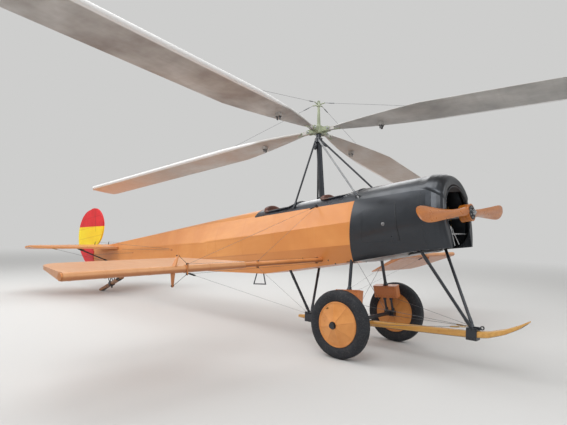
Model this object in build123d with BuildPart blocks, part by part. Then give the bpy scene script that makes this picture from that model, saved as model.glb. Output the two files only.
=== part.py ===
"""A gyrocopter of the 1920s, parked on two wheels and a tail skid.

Lengths are in millimetres. The nose points to +X, left is +Y and up is +Z.
Stations are measured along the fuselage datum, forwards from above the axle,
and heights square to it.
"""
from math import cos, radians, sin, sqrt, tan
import os

from build123d import *

os.makedirs("parts", exist_ok=True)

# Ground attitude and the fuselage datum
nose_up = 8.8
datum_height = 1060

# Fuselage: fabric over an eight-sided frame
seam_x = -25
sternpost = -6750
tail_joint_station = -1760
tail_height = 866
tail_pad = 26
fuselage_sections = (
    # station, bottom, low corner, high corner, top, bottom half, side half, top half
    (300, -4, 190, 450, 690, 340, 420, 340),
    (0, -4, 190, 450, 690, 340, 420, 340),
    (-1500, -44, 233, 480, 752, 318, 371, 247),
    (-3000, 101, 290, 530, 815, 225, 270, 140),
    (-4800, 275, 425, 640, 838, 125, 155, 70),
    (sternpost, 464, 580, tail_height - tail_pad - 100, tail_height - tail_pad, 18, 22, 15),
)

# Decking round the two cockpits, and the arched fabric back behind it
deck_rear = -1665
back_rises = (
    # station, rise of the arch over the top longerons
    (deck_rear, 116),
    (-3000, 53),
    (-4800, 14),
    (-6300, 2),
)
deck_sections = (
    # station, edge height, half width, crown rise
    (300, 690, 340, 168),
    (0, 690, 340, 168),
    (-700, 719, 297, 140),
    (deck_rear, 758, 240, 112),
)
cockpit_half_width = 215
cockpit_floor = 240
cockpit_corner = 40
rim_corner = 120
coaming_roll = 48
roll_arch_half = 260
roll_arch_drop = 133
cockpits = (
    # name, middle, length, crown of the deck, height of the roll
    ("front", -255, 560, 858, 38),
    ("rear", -1250, 560, 866, 45),
)
seat_width = 350
seat_length = 260
seat_height = 130
seat_back = 360

# Engine cowl
cowl_front = 1130
nose_start = 900
nose_inset = 88
nose_steps = (0, 0.3, 0.55, 0.75, 0.9, 0.98, 1)
cowl_sections = (
    # station, bottom, bottom half, side, side half, shoulder, shoulder half, crown
    (-300, -3, 343, 310, 436, 695, 343, 862),
    (0, -3, 343, 310, 436, 695, 346, 862),
    (800, 42, 345, 350, 432, 672, 362, 852),
    (cowl_front, 36, 335, 350, 424, 650, 362, 846),
)
bay_rear = 640
bay_radius = 390
bay_throat = 330
cowl_lip = 22
intake_radius = 300
intake_foot_half = 245

# Rotary engine and propeller, all on one shaft line
shaft_height = 386
engine_station = 880
cylinder_count = 9
crankcase_radius = 118
crankcase_depth = 130
barrel_radius = 44
head_radius = 338
fin_radius = 60
fin_count = 4
fin_thickness = 9
crankshaft = 60
propeller_station = 1222
propeller_radius = 1127
propeller_turn = 2.6
boss_radius = 92
boss_depth = 110
propeller_sections = (
    # radius, chord, thickness, pitch
    (40, 100, 92, 66),
    (120, 106, 80, 58),
    (260, 104, 58, 47),
    (480, 122, 40, 36),
    (720, 152, 30, 28),
    (900, 174, 23, 22),
    (1010, 168, 17, 20),
    (1080, 132, 12, 19),
    (1112, 88, 9, 18),
    (propeller_radius, 30, 6, 18),
)

# Rotor
lean_aft = 6.8
lean_left = 6.4
rotor_azimuth = 6.4
blade_count = 4
blade_droops = (3.6, 1.4, 2.4, 2.4)
rotor_radius = 4880
hub_radius = 70
hub_half_height = 46
flap_pin_radius = 150
flap_pin = 20
pin_gap = 0.08
clevis_gap = 46
clevis_plate = 13
lug_side_gap = 1
king_post = 330
king_post_radius = 17
lifting_eye = 20
lifting_plate = 12
blade_sections = (
    # radius, leading edge, trailing edge, thickness
    (260, 46, -60, 44),
    (480, 92, -120, 56),
    (800, 145, -200, 64),
    (1150, 180, -280, 70),
    (1500, 205, -345, 72),
    (4760, 210, -352, 60),
    (rotor_radius, 120, -330, 22),
)
cable_bracket_radius = 900

# Mast
mast_foot = (-761, 0, 1760)
collar_place = (-837.4, -12.8, 2600)
hub_rise = 114
collar_radius = 46
mast_chord = 84
mast_thickness = 44
spindle = 44
stay_tube = 24
stay_feet = (
    # name, x, half spread, height under the deck
    ("front", 60, 332, 1740),
    ("rear", -1038, 262, 1640),
)

# Main gear
wheel_radius = 375
tyre_width = 136
rim_radius = 250
half_track = 623
axle_tube = 46
wheel_bore_gap = 0.08
hub_outer = 129
hub_inner = 88
wheel_hub_radius = 42
leg_tube = 38
leg_top = (-60, 322, 1120)
leg_foot = (0, 478, 375)
box_length = 330
box_depth = 150
box_width = 96
box_height = 655
lower_tube_spacing = 90
skid_width = 76
brace_tube = 34
front_joint = (1235, 0, 430)
rear_joint = (-909, 0, 300)
front_brace_top = (769, 325, 1260)
rear_brace_top = (-1027, 325, 915)
towing_eye = 22
towing_plate = 12
step_tube = 16
step_tubes = (
    # start, end
    ((-1632, -272, 850), (-1690, -290, 628)),
    ((-1550, -272, 860), (-1470, -290, 645)),
    ((-1697, -290, 627), (-1463, -290, 646)),
)
skid_sections = (
    # x, height of the middle, width, thickness
    (-1090, 243, 60, 34),
    (-909, 256, skid_width, 56),
    (0, 308, skid_width, 64),
    (1235, 380, skid_width, 68),
    (1400, 404, 110, 62),
    (1560, 458, 142, 50),
    (1690, 524, 130, 36),
    (1777, 586, 70, 16),
)

# Outrigger booms and ailerons
boom_tube = 50
boom_x = -480
boom_tip_y = 3500
boom_root_z = 1046
boom_tip_z = 1020
sleeve_wall = 9
sleeve_gap = 0.6
aileron_chord = 740
aileron_inner = 1650
aileron_inner_rear = 1900
aileron_edge = 12
aileron_rake = 75
aileron_corner = 270
horn_span = 2510
horn_up = 128
horn_down = 152
aileron_rest = (
    # side, side sign, trailing edge down
    ("left", 1, 24),
    ("right", -1, -2.5),
)

# Tail
tail_plate = 36
tail_incidence = -10
tail_half_span = 1450
elevator_hinge = -6430
tail_root = 110
tail_outline = (
    # forward of the elevator hinge, in from the tip
    (790, tail_half_span - tail_root),
    (370, 160),
    (200, 35),
    (20, 0),
)
elevator_inner = 122
elevator_outline = (
    # behind the elevator hinge, in from the tip
    (310, 50),
    (450, 240),
    (520, 830),
    (530, 1190),
    (450, 1290),
)
elevator_bearings = (-1250, -700, -60, 60, 700, 1250)
hinge_tube = 26
hinge_eye = 21
rudder_hinge = -6790
rudder_plate = 30
rudder_post_bottom = 470
rudder_post_top = tail_height - 16
rudder_eyes = (560, 760)
rudder_outline = (
    # forward of the rudder post, above the tailplane
    (50, 6),
    (100, 18),
    (365, 194),
    (458, 464),
    (320, 724),
    (-60, 806),
    (-450, 664),
    (-640, 334),
    (-628, 64),
    (-475, -176),
    (-330, -321),
)
tail_strut_foot = (-6100, 60, 505)
tail_strut_top = (-6080, 900, 860)
tail_skid_width = 84
tail_skid_depth = 58
skid_top = (-5670, 0, 344)
skid_foot = (-6470, 0, 4)
tie_down = 20

up_cos, up_sin = cos(radians(nose_up)), sin(radians(nose_up))
datum = Plane(origin=(0, 0, datum_height), x_dir=(up_cos, 0, up_sin), z_dir=(-up_sin, 0, up_cos))
centre_plane = Plane(origin=datum.origin, x_dir=datum.x_dir, z_dir=(0, -1, 0))
seam = Plane(origin=(seam_x, 0, 0), z_dir=(1, 0, 0))
parts = {}


def keep(name, shape):
    """Label a finished piece and hold it for export."""
    shape.label = name
    parts[name] = shape


def at(station, side, height):
    """World place of a point given by station, side and height."""
    return datum.from_local_coords(Vector(station, side, height))


def frame_at(station, height=0):
    """Plane of a fuselage frame: sketch x to the left, sketch y up."""
    return Plane(origin=at(station, 0, height), x_dir=(0, 1, 0), z_dir=datum.x_dir)


def rod(start, end, diameter, mode=Mode.ADD):
    """Add a round rod between two points to the current part, or cut one away."""
    start, end = Vector(start), Vector(end)
    with BuildSketch(Plane(origin=start, z_dir=end - start)) as section:
        Circle(diameter / 2)
    extrude(section.sketch, amount=(end - start).length, mode=mode)


def on_side(point, sign):
    """The same point on the left (1) or the right (-1)."""
    return Vector(point[0], sign * point[1], point[2])


# Outrigger tube through the fuselage, with a stop ring at each end of each aileron
boom_root = Vector(boom_x, 0, boom_root_z)
with BuildPart() as boom:
    for sign in (1, -1):
        tip = Vector(boom_x, sign * boom_tip_y, boom_tip_z)
        out = (tip - boom_root).normalized()
        rod(boom_root, tip + out * 14, boom_tube)
        rod(tip + out * sleeve_gap, tip + out * 14, boom_tube + 12)
        inner_stop = boom_root + out * (aileron_inner - 16)
        rod(inner_stop, inner_stop + out * (16 - sleeve_gap), boom_tube + 14)
    with Locations(boom_root):
        Sphere(boom_tube / 2)
keep("boom", boom.part)

def roof(station):
    """Height and half width of the top longerons at a station."""
    fore, aft = next(pair for pair in zip(fuselage_sections, fuselage_sections[1:]) if station >= pair[1][0])
    share = (station - fore[0]) / (aft[0] - fore[0])
    return [fore[column] + (aft[column] - fore[column]) * share for column in (4, 7)]


# Fuselage
with BuildPart() as fuselage:
    for station, bottom, low, high, top, bottom_half, side_half, top_half in fuselage_sections:
        with BuildSketch(frame_at(station)):
            with BuildLine():
                Polyline(
                    (bottom_half, bottom), (side_half, low), (side_half, high), (top_half, top),
                    (-top_half, top), (-side_half, high), (-side_half, low), (-bottom_half, bottom),
                    close=True,
                )
            make_face()
    loft(ruled=True)
    for station, rise in back_rises:
        edge, half = roof(station)
        with BuildSketch(frame_at(station)):
            with BuildLine():
                base = Polyline((-half, edge), (-half, edge - 30), (half, edge - 30), (half, edge))
                ThreePointArc(base @ 1, (0, edge + rise), base @ 0)
            make_face()
    loft(ruled=True)
    split(bisect_by=seam, keep=Keep.BOTTOM)
    for name, middle, length, crown, roll in cockpits:
        with BuildSketch(datum.offset(cockpit_floor)):
            with Locations((middle, 0)):
                RectangleRounded(length, 2 * cockpit_half_width, cockpit_corner)
        extrude(amount=700, mode=Mode.SUBTRACT)
    rod(at(rudder_hinge, 0, rudder_post_bottom), at(rudder_hinge, 0, rudder_post_top), hinge_tube)
    for height in (rudder_post_bottom + 34, sum(rudder_eyes) / 2, rudder_post_top - 26):
        with BuildSketch(datum.offset(height - 8)):
            with Locations((rudder_hinge + 32, 0)):
                Rectangle(64, 24)
        extrude(amount=16)
    add(boom.part, mode=Mode.SUBTRACT)
tail_joint = frame_at(tail_joint_station)
keep("fuselage", split(fuselage.part, bisect_by=tail_joint, keep=Keep.TOP))

# Black decking, a low arch on top of the fuselage
with BuildPart() as top_deck:
    for station, edge, half, rise in deck_sections:
        with BuildSketch(frame_at(station)):
            with BuildLine():
                Line((-half, edge - 30), (half, edge - 30))
                Line((half, edge - 30), (half, edge))
                ThreePointArc((half, edge), (0, edge + rise), (-half, edge))
                Line((-half, edge), (-half, edge - 30))
            make_face()
    loft(ruled=True)
    split(bisect_by=seam, keep=Keep.BOTTOM)
    for name, middle, length, crown, roll in cockpits:
        with BuildSketch(datum.offset(cockpit_floor)):
            with Locations((middle, 0)):
                RectangleRounded(length, 2 * cockpit_half_width, rim_corner)
        extrude(amount=900, mode=Mode.SUBTRACT)
    add(fuselage.part, mode=Mode.SUBTRACT)
keep("top_deck", top_deck.part)

# Padded rolls on the cockpit rims
for name, middle, length, crown, roll in cockpits:
    ring_bottom = crown - 90
    with BuildPart() as coaming:
        with BuildSketch(datum.offset(ring_bottom)):
            with Locations((middle, 0)):
                RectangleRounded(length + coaming_roll, 2 * cockpit_half_width + coaming_roll,
                                 rim_corner + coaming_roll / 2)
                RectangleRounded(length - coaming_roll, 2 * cockpit_half_width - coaming_roll,
                                 rim_corner - coaming_roll / 2, mode=Mode.SUBTRACT)
        extrude(amount=90 + roll)
        with BuildSketch(frame_at(middle - length)):
            with BuildLine():
                foot = crown + roll - roll_arch_drop
                arch = ThreePointArc((-roll_arch_half, foot), (0, crown + roll), (roll_arch_half, foot))
                Polyline(arch @ 1, (roll_arch_half, crown + 200), (-roll_arch_half, crown + 200), arch @ 0)
            make_face()
        extrude(amount=2 * length, mode=Mode.SUBTRACT)
        add(top_deck.part, mode=Mode.SUBTRACT)
        add(fuselage.part, mode=Mode.SUBTRACT)
    keep(name + "_coaming", coaming.part)

    # Seat: a rounded pan on the floor with an upright back
    seat_rear = middle - length / 2 + 100
    with BuildPart() as seat:
        with BuildSketch(datum.offset(cockpit_floor)):
            with Locations((seat_rear + seat_length / 2, 0)):
                RectangleRounded(seat_length, seat_width, 50)
        extrude(amount=seat_height)
        with BuildSketch(frame_at(seat_rear, cockpit_floor)):
            with Locations((0, seat_back / 2)):
                RectangleRounded(270, seat_back, 50)
        extrude(amount=28)
    keep(name + "_seat", seat.part)

    # Instrument board across the front of the cockpit
    with BuildPart() as board:
        with BuildSketch(frame_at(middle + length / 2 - 60)):
            with Locations((0, 570)):
                RectangleRounded(250, 170, 20)
        extrude(amount=70)
        add(fuselage.part, mode=Mode.SUBTRACT)
    keep(name + "_instrument_board", board.part)



def cowl_row(station):
    """Heights and half widths of the cowl at a station, from the table."""
    pairs = zip(cowl_sections, cowl_sections[1:])
    aft, fore = next(pair for pair in pairs if station <= pair[1][0])
    share = (station - aft[0]) / (fore[0] - aft[0])
    return [aft[column] + (fore[column] - aft[column]) * share for column in range(1, 8)]


# Stations of the cowl, and how far its nose is drawn in at each
cowl_stations = [(row[0], 0) for row in cowl_sections if row[0] < nose_start]
for share in nose_steps:
    cowl_stations.append(
        (nose_start + share * (cowl_front - nose_start), nose_inset * (1 - sqrt(1 - share ** 2)))
    )

# Engine cowl with its bay open at the front and below
shaft_line = Axis(origin=at(0, 0, shaft_height), direction=datum.x_dir)
with BuildPart() as cowl:
    for station, inset in cowl_stations:
        bottom, bottom_half, side, side_half, shoulder, shoulder_half, crown = cowl_row(station)
        with BuildSketch(frame_at(station)):
            with BuildLine():
                low = (bottom_half - inset * 0.7, bottom)
                wide = (side_half - inset, side)
                high = (shoulder_half - inset * 0.8, shoulder - inset * 0.7)
                Line((-low[0], low[1]), low)
                ThreePointArc(low, wide, high)
                ThreePointArc(high, (0, crown - inset), (-high[0], high[1]))
                ThreePointArc((-high[0], high[1]), (-wide[0], wide[1]), (-low[0], low[1]))
            make_face()
    loft(ruled=True)
    split(bisect_by=seam, keep=Keep.TOP)
    with BuildSketch(centre_plane):
        with BuildLine():
            Polyline(
                (bay_rear, shaft_height), (bay_rear, shaft_height + bay_radius),
                (cowl_front - 90, shaft_height + bay_radius),
                (cowl_front - cowl_lip, shaft_height + bay_throat),
                (cowl_front - cowl_lip, shaft_height), close=True,
            )
        make_face()
    revolve(axis=shaft_line, mode=Mode.SUBTRACT)
    with BuildSketch(frame_at(cowl_front + 50)):
        with Locations((0, shaft_height)):
            Circle(intake_radius)
        with Locations((0, shaft_height - 300)):
            Rectangle(2 * intake_foot_half, 600)
    extrude(amount=-160, mode=Mode.SUBTRACT)
keep("cowl", cowl.part)

# Fixed crankshaft, flanged to the rear wall of the bay
with BuildPart() as crankshaft_stub:
    with BuildSketch(frame_at(bay_rear, shaft_height)):
        Circle(130)
    extrude(amount=22)
    with BuildSketch(frame_at(bay_rear, shaft_height)):
        Circle(crankshaft / 2)
    extrude(amount=engine_station - bay_rear)
keep("crankshaft", crankshaft_stub.part)

# Rotary engine: crankcase, finned cylinders, push rods and the nose
crankcase_front = engine_station + crankcase_depth / 2
boss_rear = propeller_station - boss_depth / 2
with BuildPart() as engine:
    with BuildSketch(frame_at(engine_station - crankcase_depth / 2, shaft_height)):
        Circle(crankcase_radius)
    extrude(amount=crankcase_depth)
    with BuildSketch(frame_at(crankcase_front, shaft_height)):
        Circle(88)
    with BuildSketch(frame_at(crankcase_front + 70, shaft_height)):
        Circle(52)
    loft()
    with BuildSketch(frame_at(crankcase_front + 70, shaft_height)):
        Circle(44)
    extrude(amount=boss_rear - crankcase_front - 70)
    for index in range(cylinder_count):
        turn = radians(index * 360 / cylinder_count)
        radial = datum.z_dir * cos(turn) + Vector(0, 1, 0) * sin(turn)
        barrel = Plane(origin=at(engine_station, 0, shaft_height), x_dir=datum.x_dir, z_dir=radial)
        with BuildSketch(barrel.offset(crankcase_radius - 30)):
            Circle(barrel_radius)
        extrude(amount=head_radius - crankcase_radius + 30 - 14)
        for fin in range(fin_count):
            with BuildSketch(barrel.offset(crankcase_radius + 52 + 38 * fin)):
                Circle(fin_radius)
            extrude(amount=fin_thickness)
        with BuildSketch(barrel.offset(head_radius - 40)):
            Rectangle(104, 34)
        extrude(amount=40)
        rod(
            barrel.from_local_coords(Vector(46, 0, crankcase_radius - 20)),
            barrel.from_local_coords(Vector(46, 0, head_radius - 30)),
            10,
        )
    with BuildSketch(frame_at(engine_station - crankcase_depth / 2, shaft_height)):
        Circle(crankshaft / 2 + pin_gap)
    extrude(amount=crankcase_depth / 2 + 1, mode=Mode.SUBTRACT)
keep("engine", engine.part)

# Two-bladed wooden propeller
across = Vector(0, cos(radians(propeller_turn)), 0) + datum.z_dir * sin(radians(propeller_turn))
boss_centre = at(propeller_station, 0, shaft_height)
with BuildPart() as propeller:
    with BuildSketch(frame_at(boss_rear, shaft_height)):
        Circle(boss_radius)
    extrude(amount=boss_depth)
    for outward in (across, -across):
        travel = datum.x_dir.cross(outward)
        for radius, chord, thickness, pitch in propeller_sections:
            lead = travel * cos(radians(pitch)) + datum.x_dir * sin(radians(pitch))
            with BuildSketch(Plane(origin=boss_centre + outward * radius, x_dir=lead, z_dir=outward)):
                with BuildLine():
                    front = ThreePointArc(
                        (-chord / 2, 0), (chord * 0.06, thickness * 0.75), (chord / 2, 0)
                    )
                    ThreePointArc(front @ 1, (0, -thickness * 0.25), front @ 0)
                make_face()
        loft()
keep("propeller", propeller.part)

# Rotor head: drum, clevis arms with their flap pins, king post and cable cross
collar = Vector(collar_place)
lean = Vector(-tan(radians(lean_aft)), tan(radians(lean_left)), 1)
head = Plane(origin=collar + lean * hub_rise, x_dir=(1, 0, tan(radians(lean_aft))), z_dir=lean)


def arm_frame(index):
    """Frame of one rotor arm: x outwards along the arm, z up the rotor's axis."""
    turn = radians(rotor_azimuth + index * 360 / blade_count)
    outward = head.x_dir * cos(turn) + head.y_dir * sin(turn)
    return Plane(origin=head.origin, x_dir=outward, z_dir=head.z_dir)


lifting_plane = Plane(
    origin=head.from_local_coords(Vector(0, 0, hub_half_height + king_post + 30)),
    x_dir=head.x_dir, z_dir=-head.y_dir,
)
with BuildPart() as rotor_hub:
    with BuildSketch(head.offset(-hub_half_height)):
        Circle(hub_radius)
    extrude(amount=2 * hub_half_height)
    for index in range(blade_count):
        arm = arm_frame(index)
        for sign in (1, -1):
            cheek = sign * (clevis_gap + clevis_plate) / 2
            cheek_plane = Plane(
                origin=arm.from_local_coords(Vector(0, cheek + clevis_plate / 2, 0)),
                x_dir=arm.x_dir, z_dir=-arm.y_dir,
            )
            with BuildSketch(cheek_plane):
                with Locations((hub_radius / 2 + flap_pin_radius / 2 - 10, 0)):
                    Rectangle(flap_pin_radius - hub_radius + 20, 56)
                with Locations((flap_pin_radius, 0)):
                    Circle(28)
            extrude(amount=clevis_plate)
        rod(
            arm.from_local_coords(Vector(flap_pin_radius, -clevis_gap / 2 - clevis_plate, 0)),
            arm.from_local_coords(Vector(flap_pin_radius, clevis_gap / 2 + clevis_plate, 0)),
            flap_pin,
        )
    with BuildSketch(head.offset(hub_half_height)):
        Circle(king_post_radius * 1.5)
    with BuildSketch(head.offset(hub_half_height + king_post)):
        Circle(king_post_radius * 0.8)
    loft()
    with BuildSketch(head.offset(hub_half_height + king_post - 30)):
        Circle(26)
    extrude(amount=36)
    for index in range(blade_count):
        arm = arm_frame(index)
        rod(
            arm.from_local_coords(Vector(12, 0, hub_half_height + king_post - 12)),
            arm.from_local_coords(Vector(95, 0, hub_half_height + king_post - 4)),
            15,
        )
    with BuildSketch(lifting_plane.offset(-lifting_plate / 2)):
        Circle(lifting_eye)
        with Locations((0, -12)):
            Rectangle(2 * lifting_eye, 24)
        Circle(lifting_eye / 2, mode=Mode.SUBTRACT)
    extrude(amount=lifting_plate)
    with BuildSketch(head.offset(-hub_half_height)):
        Circle(spindle / 2 + pin_gap)
    extrude(amount=2 * hub_half_height - 6, mode=Mode.SUBTRACT)
keep("rotor_hub", rotor_hub.part)

# Rotor blade: root lug on the flap pin, spar tube and fabric surface, all in one
with BuildPart() as blade:
    for radius, lead, trail, thickness in blade_sections:
        chord = lead - trail
        with BuildSketch(Plane(origin=(radius - flap_pin_radius, 0, 0), x_dir=(0, 1, 0), z_dir=(1, 0, 0))):
            with BuildLine():
                nose = ThreePointArc(
                    (lead - chord * 0.06, -thickness * 0.28), (lead, 0),
                    (lead - chord * 0.06, thickness * 0.36),
                )
                top = ThreePointArc(nose @ 1, (lead - chord * 0.42, thickness * 0.62), (trail, 3))
                back = Line(top @ 1, (trail, -3))
                ThreePointArc(back @ 1, (lead - chord * 0.45, -thickness * 0.38), nose @ 0)
            make_face()
    loft(ruled=True)
    with BuildSketch(Plane.YZ.offset(-2)):
        Circle(21)
    extrude(amount=blade_sections[1][0] - flap_pin_radius)
    with BuildSketch(Plane.XZ.offset(-clevis_gap / 2 + lug_side_gap)):
        Circle(24)
        with Locations((50, 0)):
            Rectangle(100, 42)
    extrude(amount=clevis_gap - 2 * lug_side_gap)
    with BuildSketch(Plane.XZ.offset(-clevis_gap)):
        Circle(flap_pin / 2 + pin_gap)
    extrude(amount=2 * clevis_gap, mode=Mode.SUBTRACT)
    with Locations((cable_bracket_radius - flap_pin_radius, 0, -30)):
        Box(46, 70, 70)
for index, droop in enumerate(blade_droops):
    arm = arm_frame(index)
    pin = arm.from_local_coords(Vector(flap_pin_radius, 0, 0))
    drooped = Plane(
        origin=pin,
        x_dir=arm.x_dir * cos(radians(droop)) - arm.z_dir * sin(radians(droop)),
        z_dir=arm.z_dir * cos(radians(droop)) + arm.x_dir * sin(radians(droop)),
    )
    keep(f"blade_{index + 1}", blade.part.moved(drooped.location))

# Mast: streamlined post, collar and the spindle under the rotor head
upright = head.z_dir
shoulder = head.origin - upright * (hub_half_height + 0.3)
post_line = collar - Vector(mast_foot)
with BuildPart() as mast:
    along_chord = Vector(1, 0, 0) - post_line * (post_line.X / post_line.length ** 2)
    with BuildSketch(Plane(origin=mast_foot, x_dir=along_chord, z_dir=post_line)):
        Ellipse(mast_chord / 2, mast_thickness / 2)
    extrude(amount=post_line.length)
    rod(collar - upright * 50, collar + upright * 8, 2 * collar_radius)
    rod(collar, shoulder, 72)
    rod(shoulder - upright, shoulder + upright * (2 * hub_half_height - 10), spindle)
    add(top_deck.part, mode=Mode.SUBTRACT)
    add(fuselage.part, mode=Mode.SUBTRACT)
keep("mast", mast.part)

# Four mast stays
for name, foot_x, spread, foot_z in stay_feet:
    for side, sign in (("left", 1), ("right", -1)):
        lug = collar + Vector(30 if name == "front" else -30, sign * 30, -22)
        with BuildPart() as stay:
            rod(lug, (foot_x, sign * spread, foot_z), stay_tube)
            for carrier in (mast, top_deck, fuselage, cowl):
                add(carrier.part, mode=Mode.SUBTRACT)
        keep(f"{name}_stay_{side}", stay.part.solids().sort_by(SortBy.VOLUME)[-1])

# Wheels: conical discs on a hub, with tyres
for side, sign in (("left", 1), ("right", -1)):
    wheel_plane = Plane(origin=(0, sign * half_track, wheel_radius), x_dir=(0, sign, 0), z_dir=(1, 0, 0))
    wheel_axis = Axis(origin=(0, sign * half_track, wheel_radius), direction=(0, 1, 0))
    bore = axle_tube / 2 + wheel_bore_gap
    with BuildPart() as wheel:
        with BuildSketch(wheel_plane):
            with BuildLine():
                Polyline(
                    (-hub_inner, -bore), (-hub_inner, -wheel_hub_radius), (-hub_inner + 14, -wheel_hub_radius),
                    (-48, -rim_radius + 14), (-48, -rim_radius), (48, -rim_radius), (48, -rim_radius + 14),
                    (hub_outer - 16, -wheel_hub_radius), (hub_outer, -wheel_hub_radius),
                    (hub_outer, -bore), close=True,
                )
            make_face()
        revolve(axis=wheel_axis)
    keep(f"wheel_{side}", wheel.part)
    with BuildPart() as tyre:
        with BuildSketch(wheel_plane):
            with BuildLine():
                bead = Line((-44, -rim_radius), (44, -rim_radius))
                flank = ThreePointArc(bead @ 1, (tyre_width / 2, -rim_radius - 48), (56, -wheel_radius + 22))
                shoulder_arc = ThreePointArc(flank @ 1, (44, -wheel_radius + 8), (28, -wheel_radius))
                tread = Line(shoulder_arc @ 1, (-28, -wheel_radius))
                other = ThreePointArc(tread @ 1, (-44, -wheel_radius + 8), (-56, -wheel_radius + 22))
                ThreePointArc(other @ 1, (-tyre_width / 2, -rim_radius - 48), bead @ 0)
            make_face()
        revolve(axis=wheel_axis)
    keep(f"tyre_{side}", tyre.part)

# Legs: a strut down from the fuselage to a sprung box above each wheel
boxes, lower_tubes = [], []
for side, sign in (("left", 1), ("right", -1)):
    top, foot = on_side(leg_top, sign), on_side(leg_foot, sign)
    rise = top - foot
    box_middle = foot + rise * ((box_height - foot.Z) / rise.Z)
    forward = Vector(1, 0, 0) - rise * (rise.X / rise.length ** 2)
    box_plane = Plane(origin=box_middle, x_dir=forward, z_dir=rise)
    with BuildPart() as spring_box:
        with BuildSketch(box_plane.offset(-box_depth / 2)):
            RectangleRounded(box_length, box_width, 18)
        extrude(amount=box_depth)
    keep(f"spring_box_{side}", spring_box.part)
    boxes.append(spring_box.part)
    with BuildPart() as leg:
        rod(box_middle + rise.normalized() * box_depth / 2, top, leg_tube)
        for carrier in (fuselage, cowl):
            add(carrier.part, mode=Mode.SUBTRACT)
    keep(f"leg_{side}", leg.part.solids().sort_by(SortBy.VOLUME)[-1])
    for step in (-lower_tube_spacing / 2, lower_tube_spacing / 2):
        lower_tubes.append((box_plane.from_local_coords(Vector(step, 0, 10 - box_depth / 2)),
                            foot + Vector(step, 0, 0)))

# Axle hung from the boxes by two tubes a side, with a collar and a nut at each wheel
with BuildPart() as axle:
    reach = half_track + hub_outer + 23
    rod((0, -reach, wheel_radius), (0, reach, wheel_radius), axle_tube)
    for upper, lower in lower_tubes:
        rod(upper, lower, 28)
    for sign in (1, -1):
        rod((0, sign * (half_track + hub_outer + 0.6), wheel_radius),
            (0, sign * reach, wheel_radius), 64)
        rod((0, sign * (half_track - hub_inner - 12.6), wheel_radius),
            (0, sign * (half_track - hub_inner - 0.6), wheel_radius), 70)
        with Locations(on_side(leg_foot, sign)):
            Box(lower_tube_spacing + 40, 62, 66)
    for spring_box_part in boxes:
        add(spring_box_part, mode=Mode.SUBTRACT)
keep("axle", axle.part)

# Centre skid with an upturned toe
with BuildPart() as centre_skid:
    for x, height, width, thickness in skid_sections:
        with BuildSketch(Plane(origin=(x, 0, height), x_dir=(0, 1, 0), z_dir=(1, 0, 0))):
            RectangleRounded(width, thickness, thickness * 0.3)
    loft(ruled=True)
keep("centre_skid", centre_skid.part)

# V struts from the skid joints up to the fuselage corners
for name, joint, brace_top, carrier in (
    ("front_brace", front_joint, front_brace_top, cowl),
    ("rear_brace", rear_joint, rear_brace_top, fuselage),
):
    with BuildPart() as brace:
        for sign in (1, -1):
            rod((joint[0], sign * 18, joint[2]), on_side(brace_top, sign), brace_tube)
        with Locations((joint[0], 0, joint[2] - 44)):
            Box(110, skid_width + 24, 124)
        if name == "front_brace":
            with BuildSketch(Plane.XZ.offset(-towing_plate / 2)):
                with Locations((joint[0] + 95, joint[2] + 26)):
                    Circle(towing_eye)
                with Locations((joint[0] + 50, joint[2] + 18)):
                    Rectangle(90, 28)
                with Locations((joint[0] + 95, joint[2] + 26)):
                    Circle(towing_eye / 2, mode=Mode.SUBTRACT)
            extrude(amount=towing_plate)
        add(carrier.part, mode=Mode.SUBTRACT)
        add(centre_skid.part, mode=Mode.SUBTRACT)
    keep(name, brace.part.solids().sort_by(SortBy.VOLUME)[-1])

# Step under the right side
with BuildPart() as step:
    for start, end in step_tubes:
        rod(start, end, step_tube)
    add(fuselage.part, mode=Mode.SUBTRACT)
keep("step", step.part.solids().sort_by(SortBy.VOLUME)[-1])

# Ailerons that turn on the outrigger tube
for side, sign, down in aileron_rest:
    tip = Vector(boom_x, sign * boom_tip_y, boom_tip_z)
    out = (tip - boom_root).normalized()
    rearward = Vector(-cos(radians(down)), 0, -sin(radians(down)))
    rearward = (rearward - out * rearward.dot(out)).normalized()
    across_wing = Plane(origin=boom_root, x_dir=rearward, z_dir=out)
    sleeve = boom_tube / 2 + sleeve_gap + sleeve_wall
    reach = boom_tip_y - aileron_inner
    with BuildPart() as aileron:
        with BuildSketch(across_wing.offset(aileron_inner)):
            with BuildLine():
                nose = ThreePointArc((0, sleeve), (-sleeve, 0), (0, -sleeve))
                low = ThreePointArc(nose @ 1, (aileron_chord * 0.45, -sleeve * 0.62),
                                    (aileron_chord, -aileron_edge / 2))
                edge = Line(low @ 1, (aileron_chord, aileron_edge / 2))
                ThreePointArc(edge @ 1, (aileron_chord * 0.45, sleeve * 0.62), nose @ 0)
            make_face()
        extrude(amount=reach - 0.5)
        plan = Plane(origin=boom_root, x_dir=out, z_dir=out.cross(rearward))
        with BuildSketch(plan):
            with BuildLine():
                inner = aileron_inner - 1
                inner_corner = aileron_inner_rear
                outer = boom_tip_y + 1
                Polyline((inner, sleeve), (inner_corner, aileron_chord + 1), (inner, aileron_chord + 1),
                         close=True)
            make_face()
            with BuildLine():
                tip_arc = ThreePointArc((outer - aileron_rake, aileron_chord * 0.62),
                                        (outer - aileron_rake * 1.6, aileron_chord * 0.82),
                                        (outer - aileron_corner, aileron_chord + 1))
                Polyline(tip_arc @ 1, (outer, aileron_chord + 1), (outer, sleeve + 10), tip_arc @ 0)
            make_face()
        extrude(amount=200, both=True, mode=Mode.SUBTRACT)
        horn_root = tip - out * (boom_tip_y - horn_span)
        rod(horn_root, horn_root + Vector(0, -sign * 50, horn_up), 15)
        rod(horn_root, horn_root + Vector(0, 0, -horn_down), 15)
        rod(boom_root, tip + out * 30, boom_tube + 2 * sleeve_gap, mode=Mode.SUBTRACT)
    keep(f"aileron_{side}", aileron.part)

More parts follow.
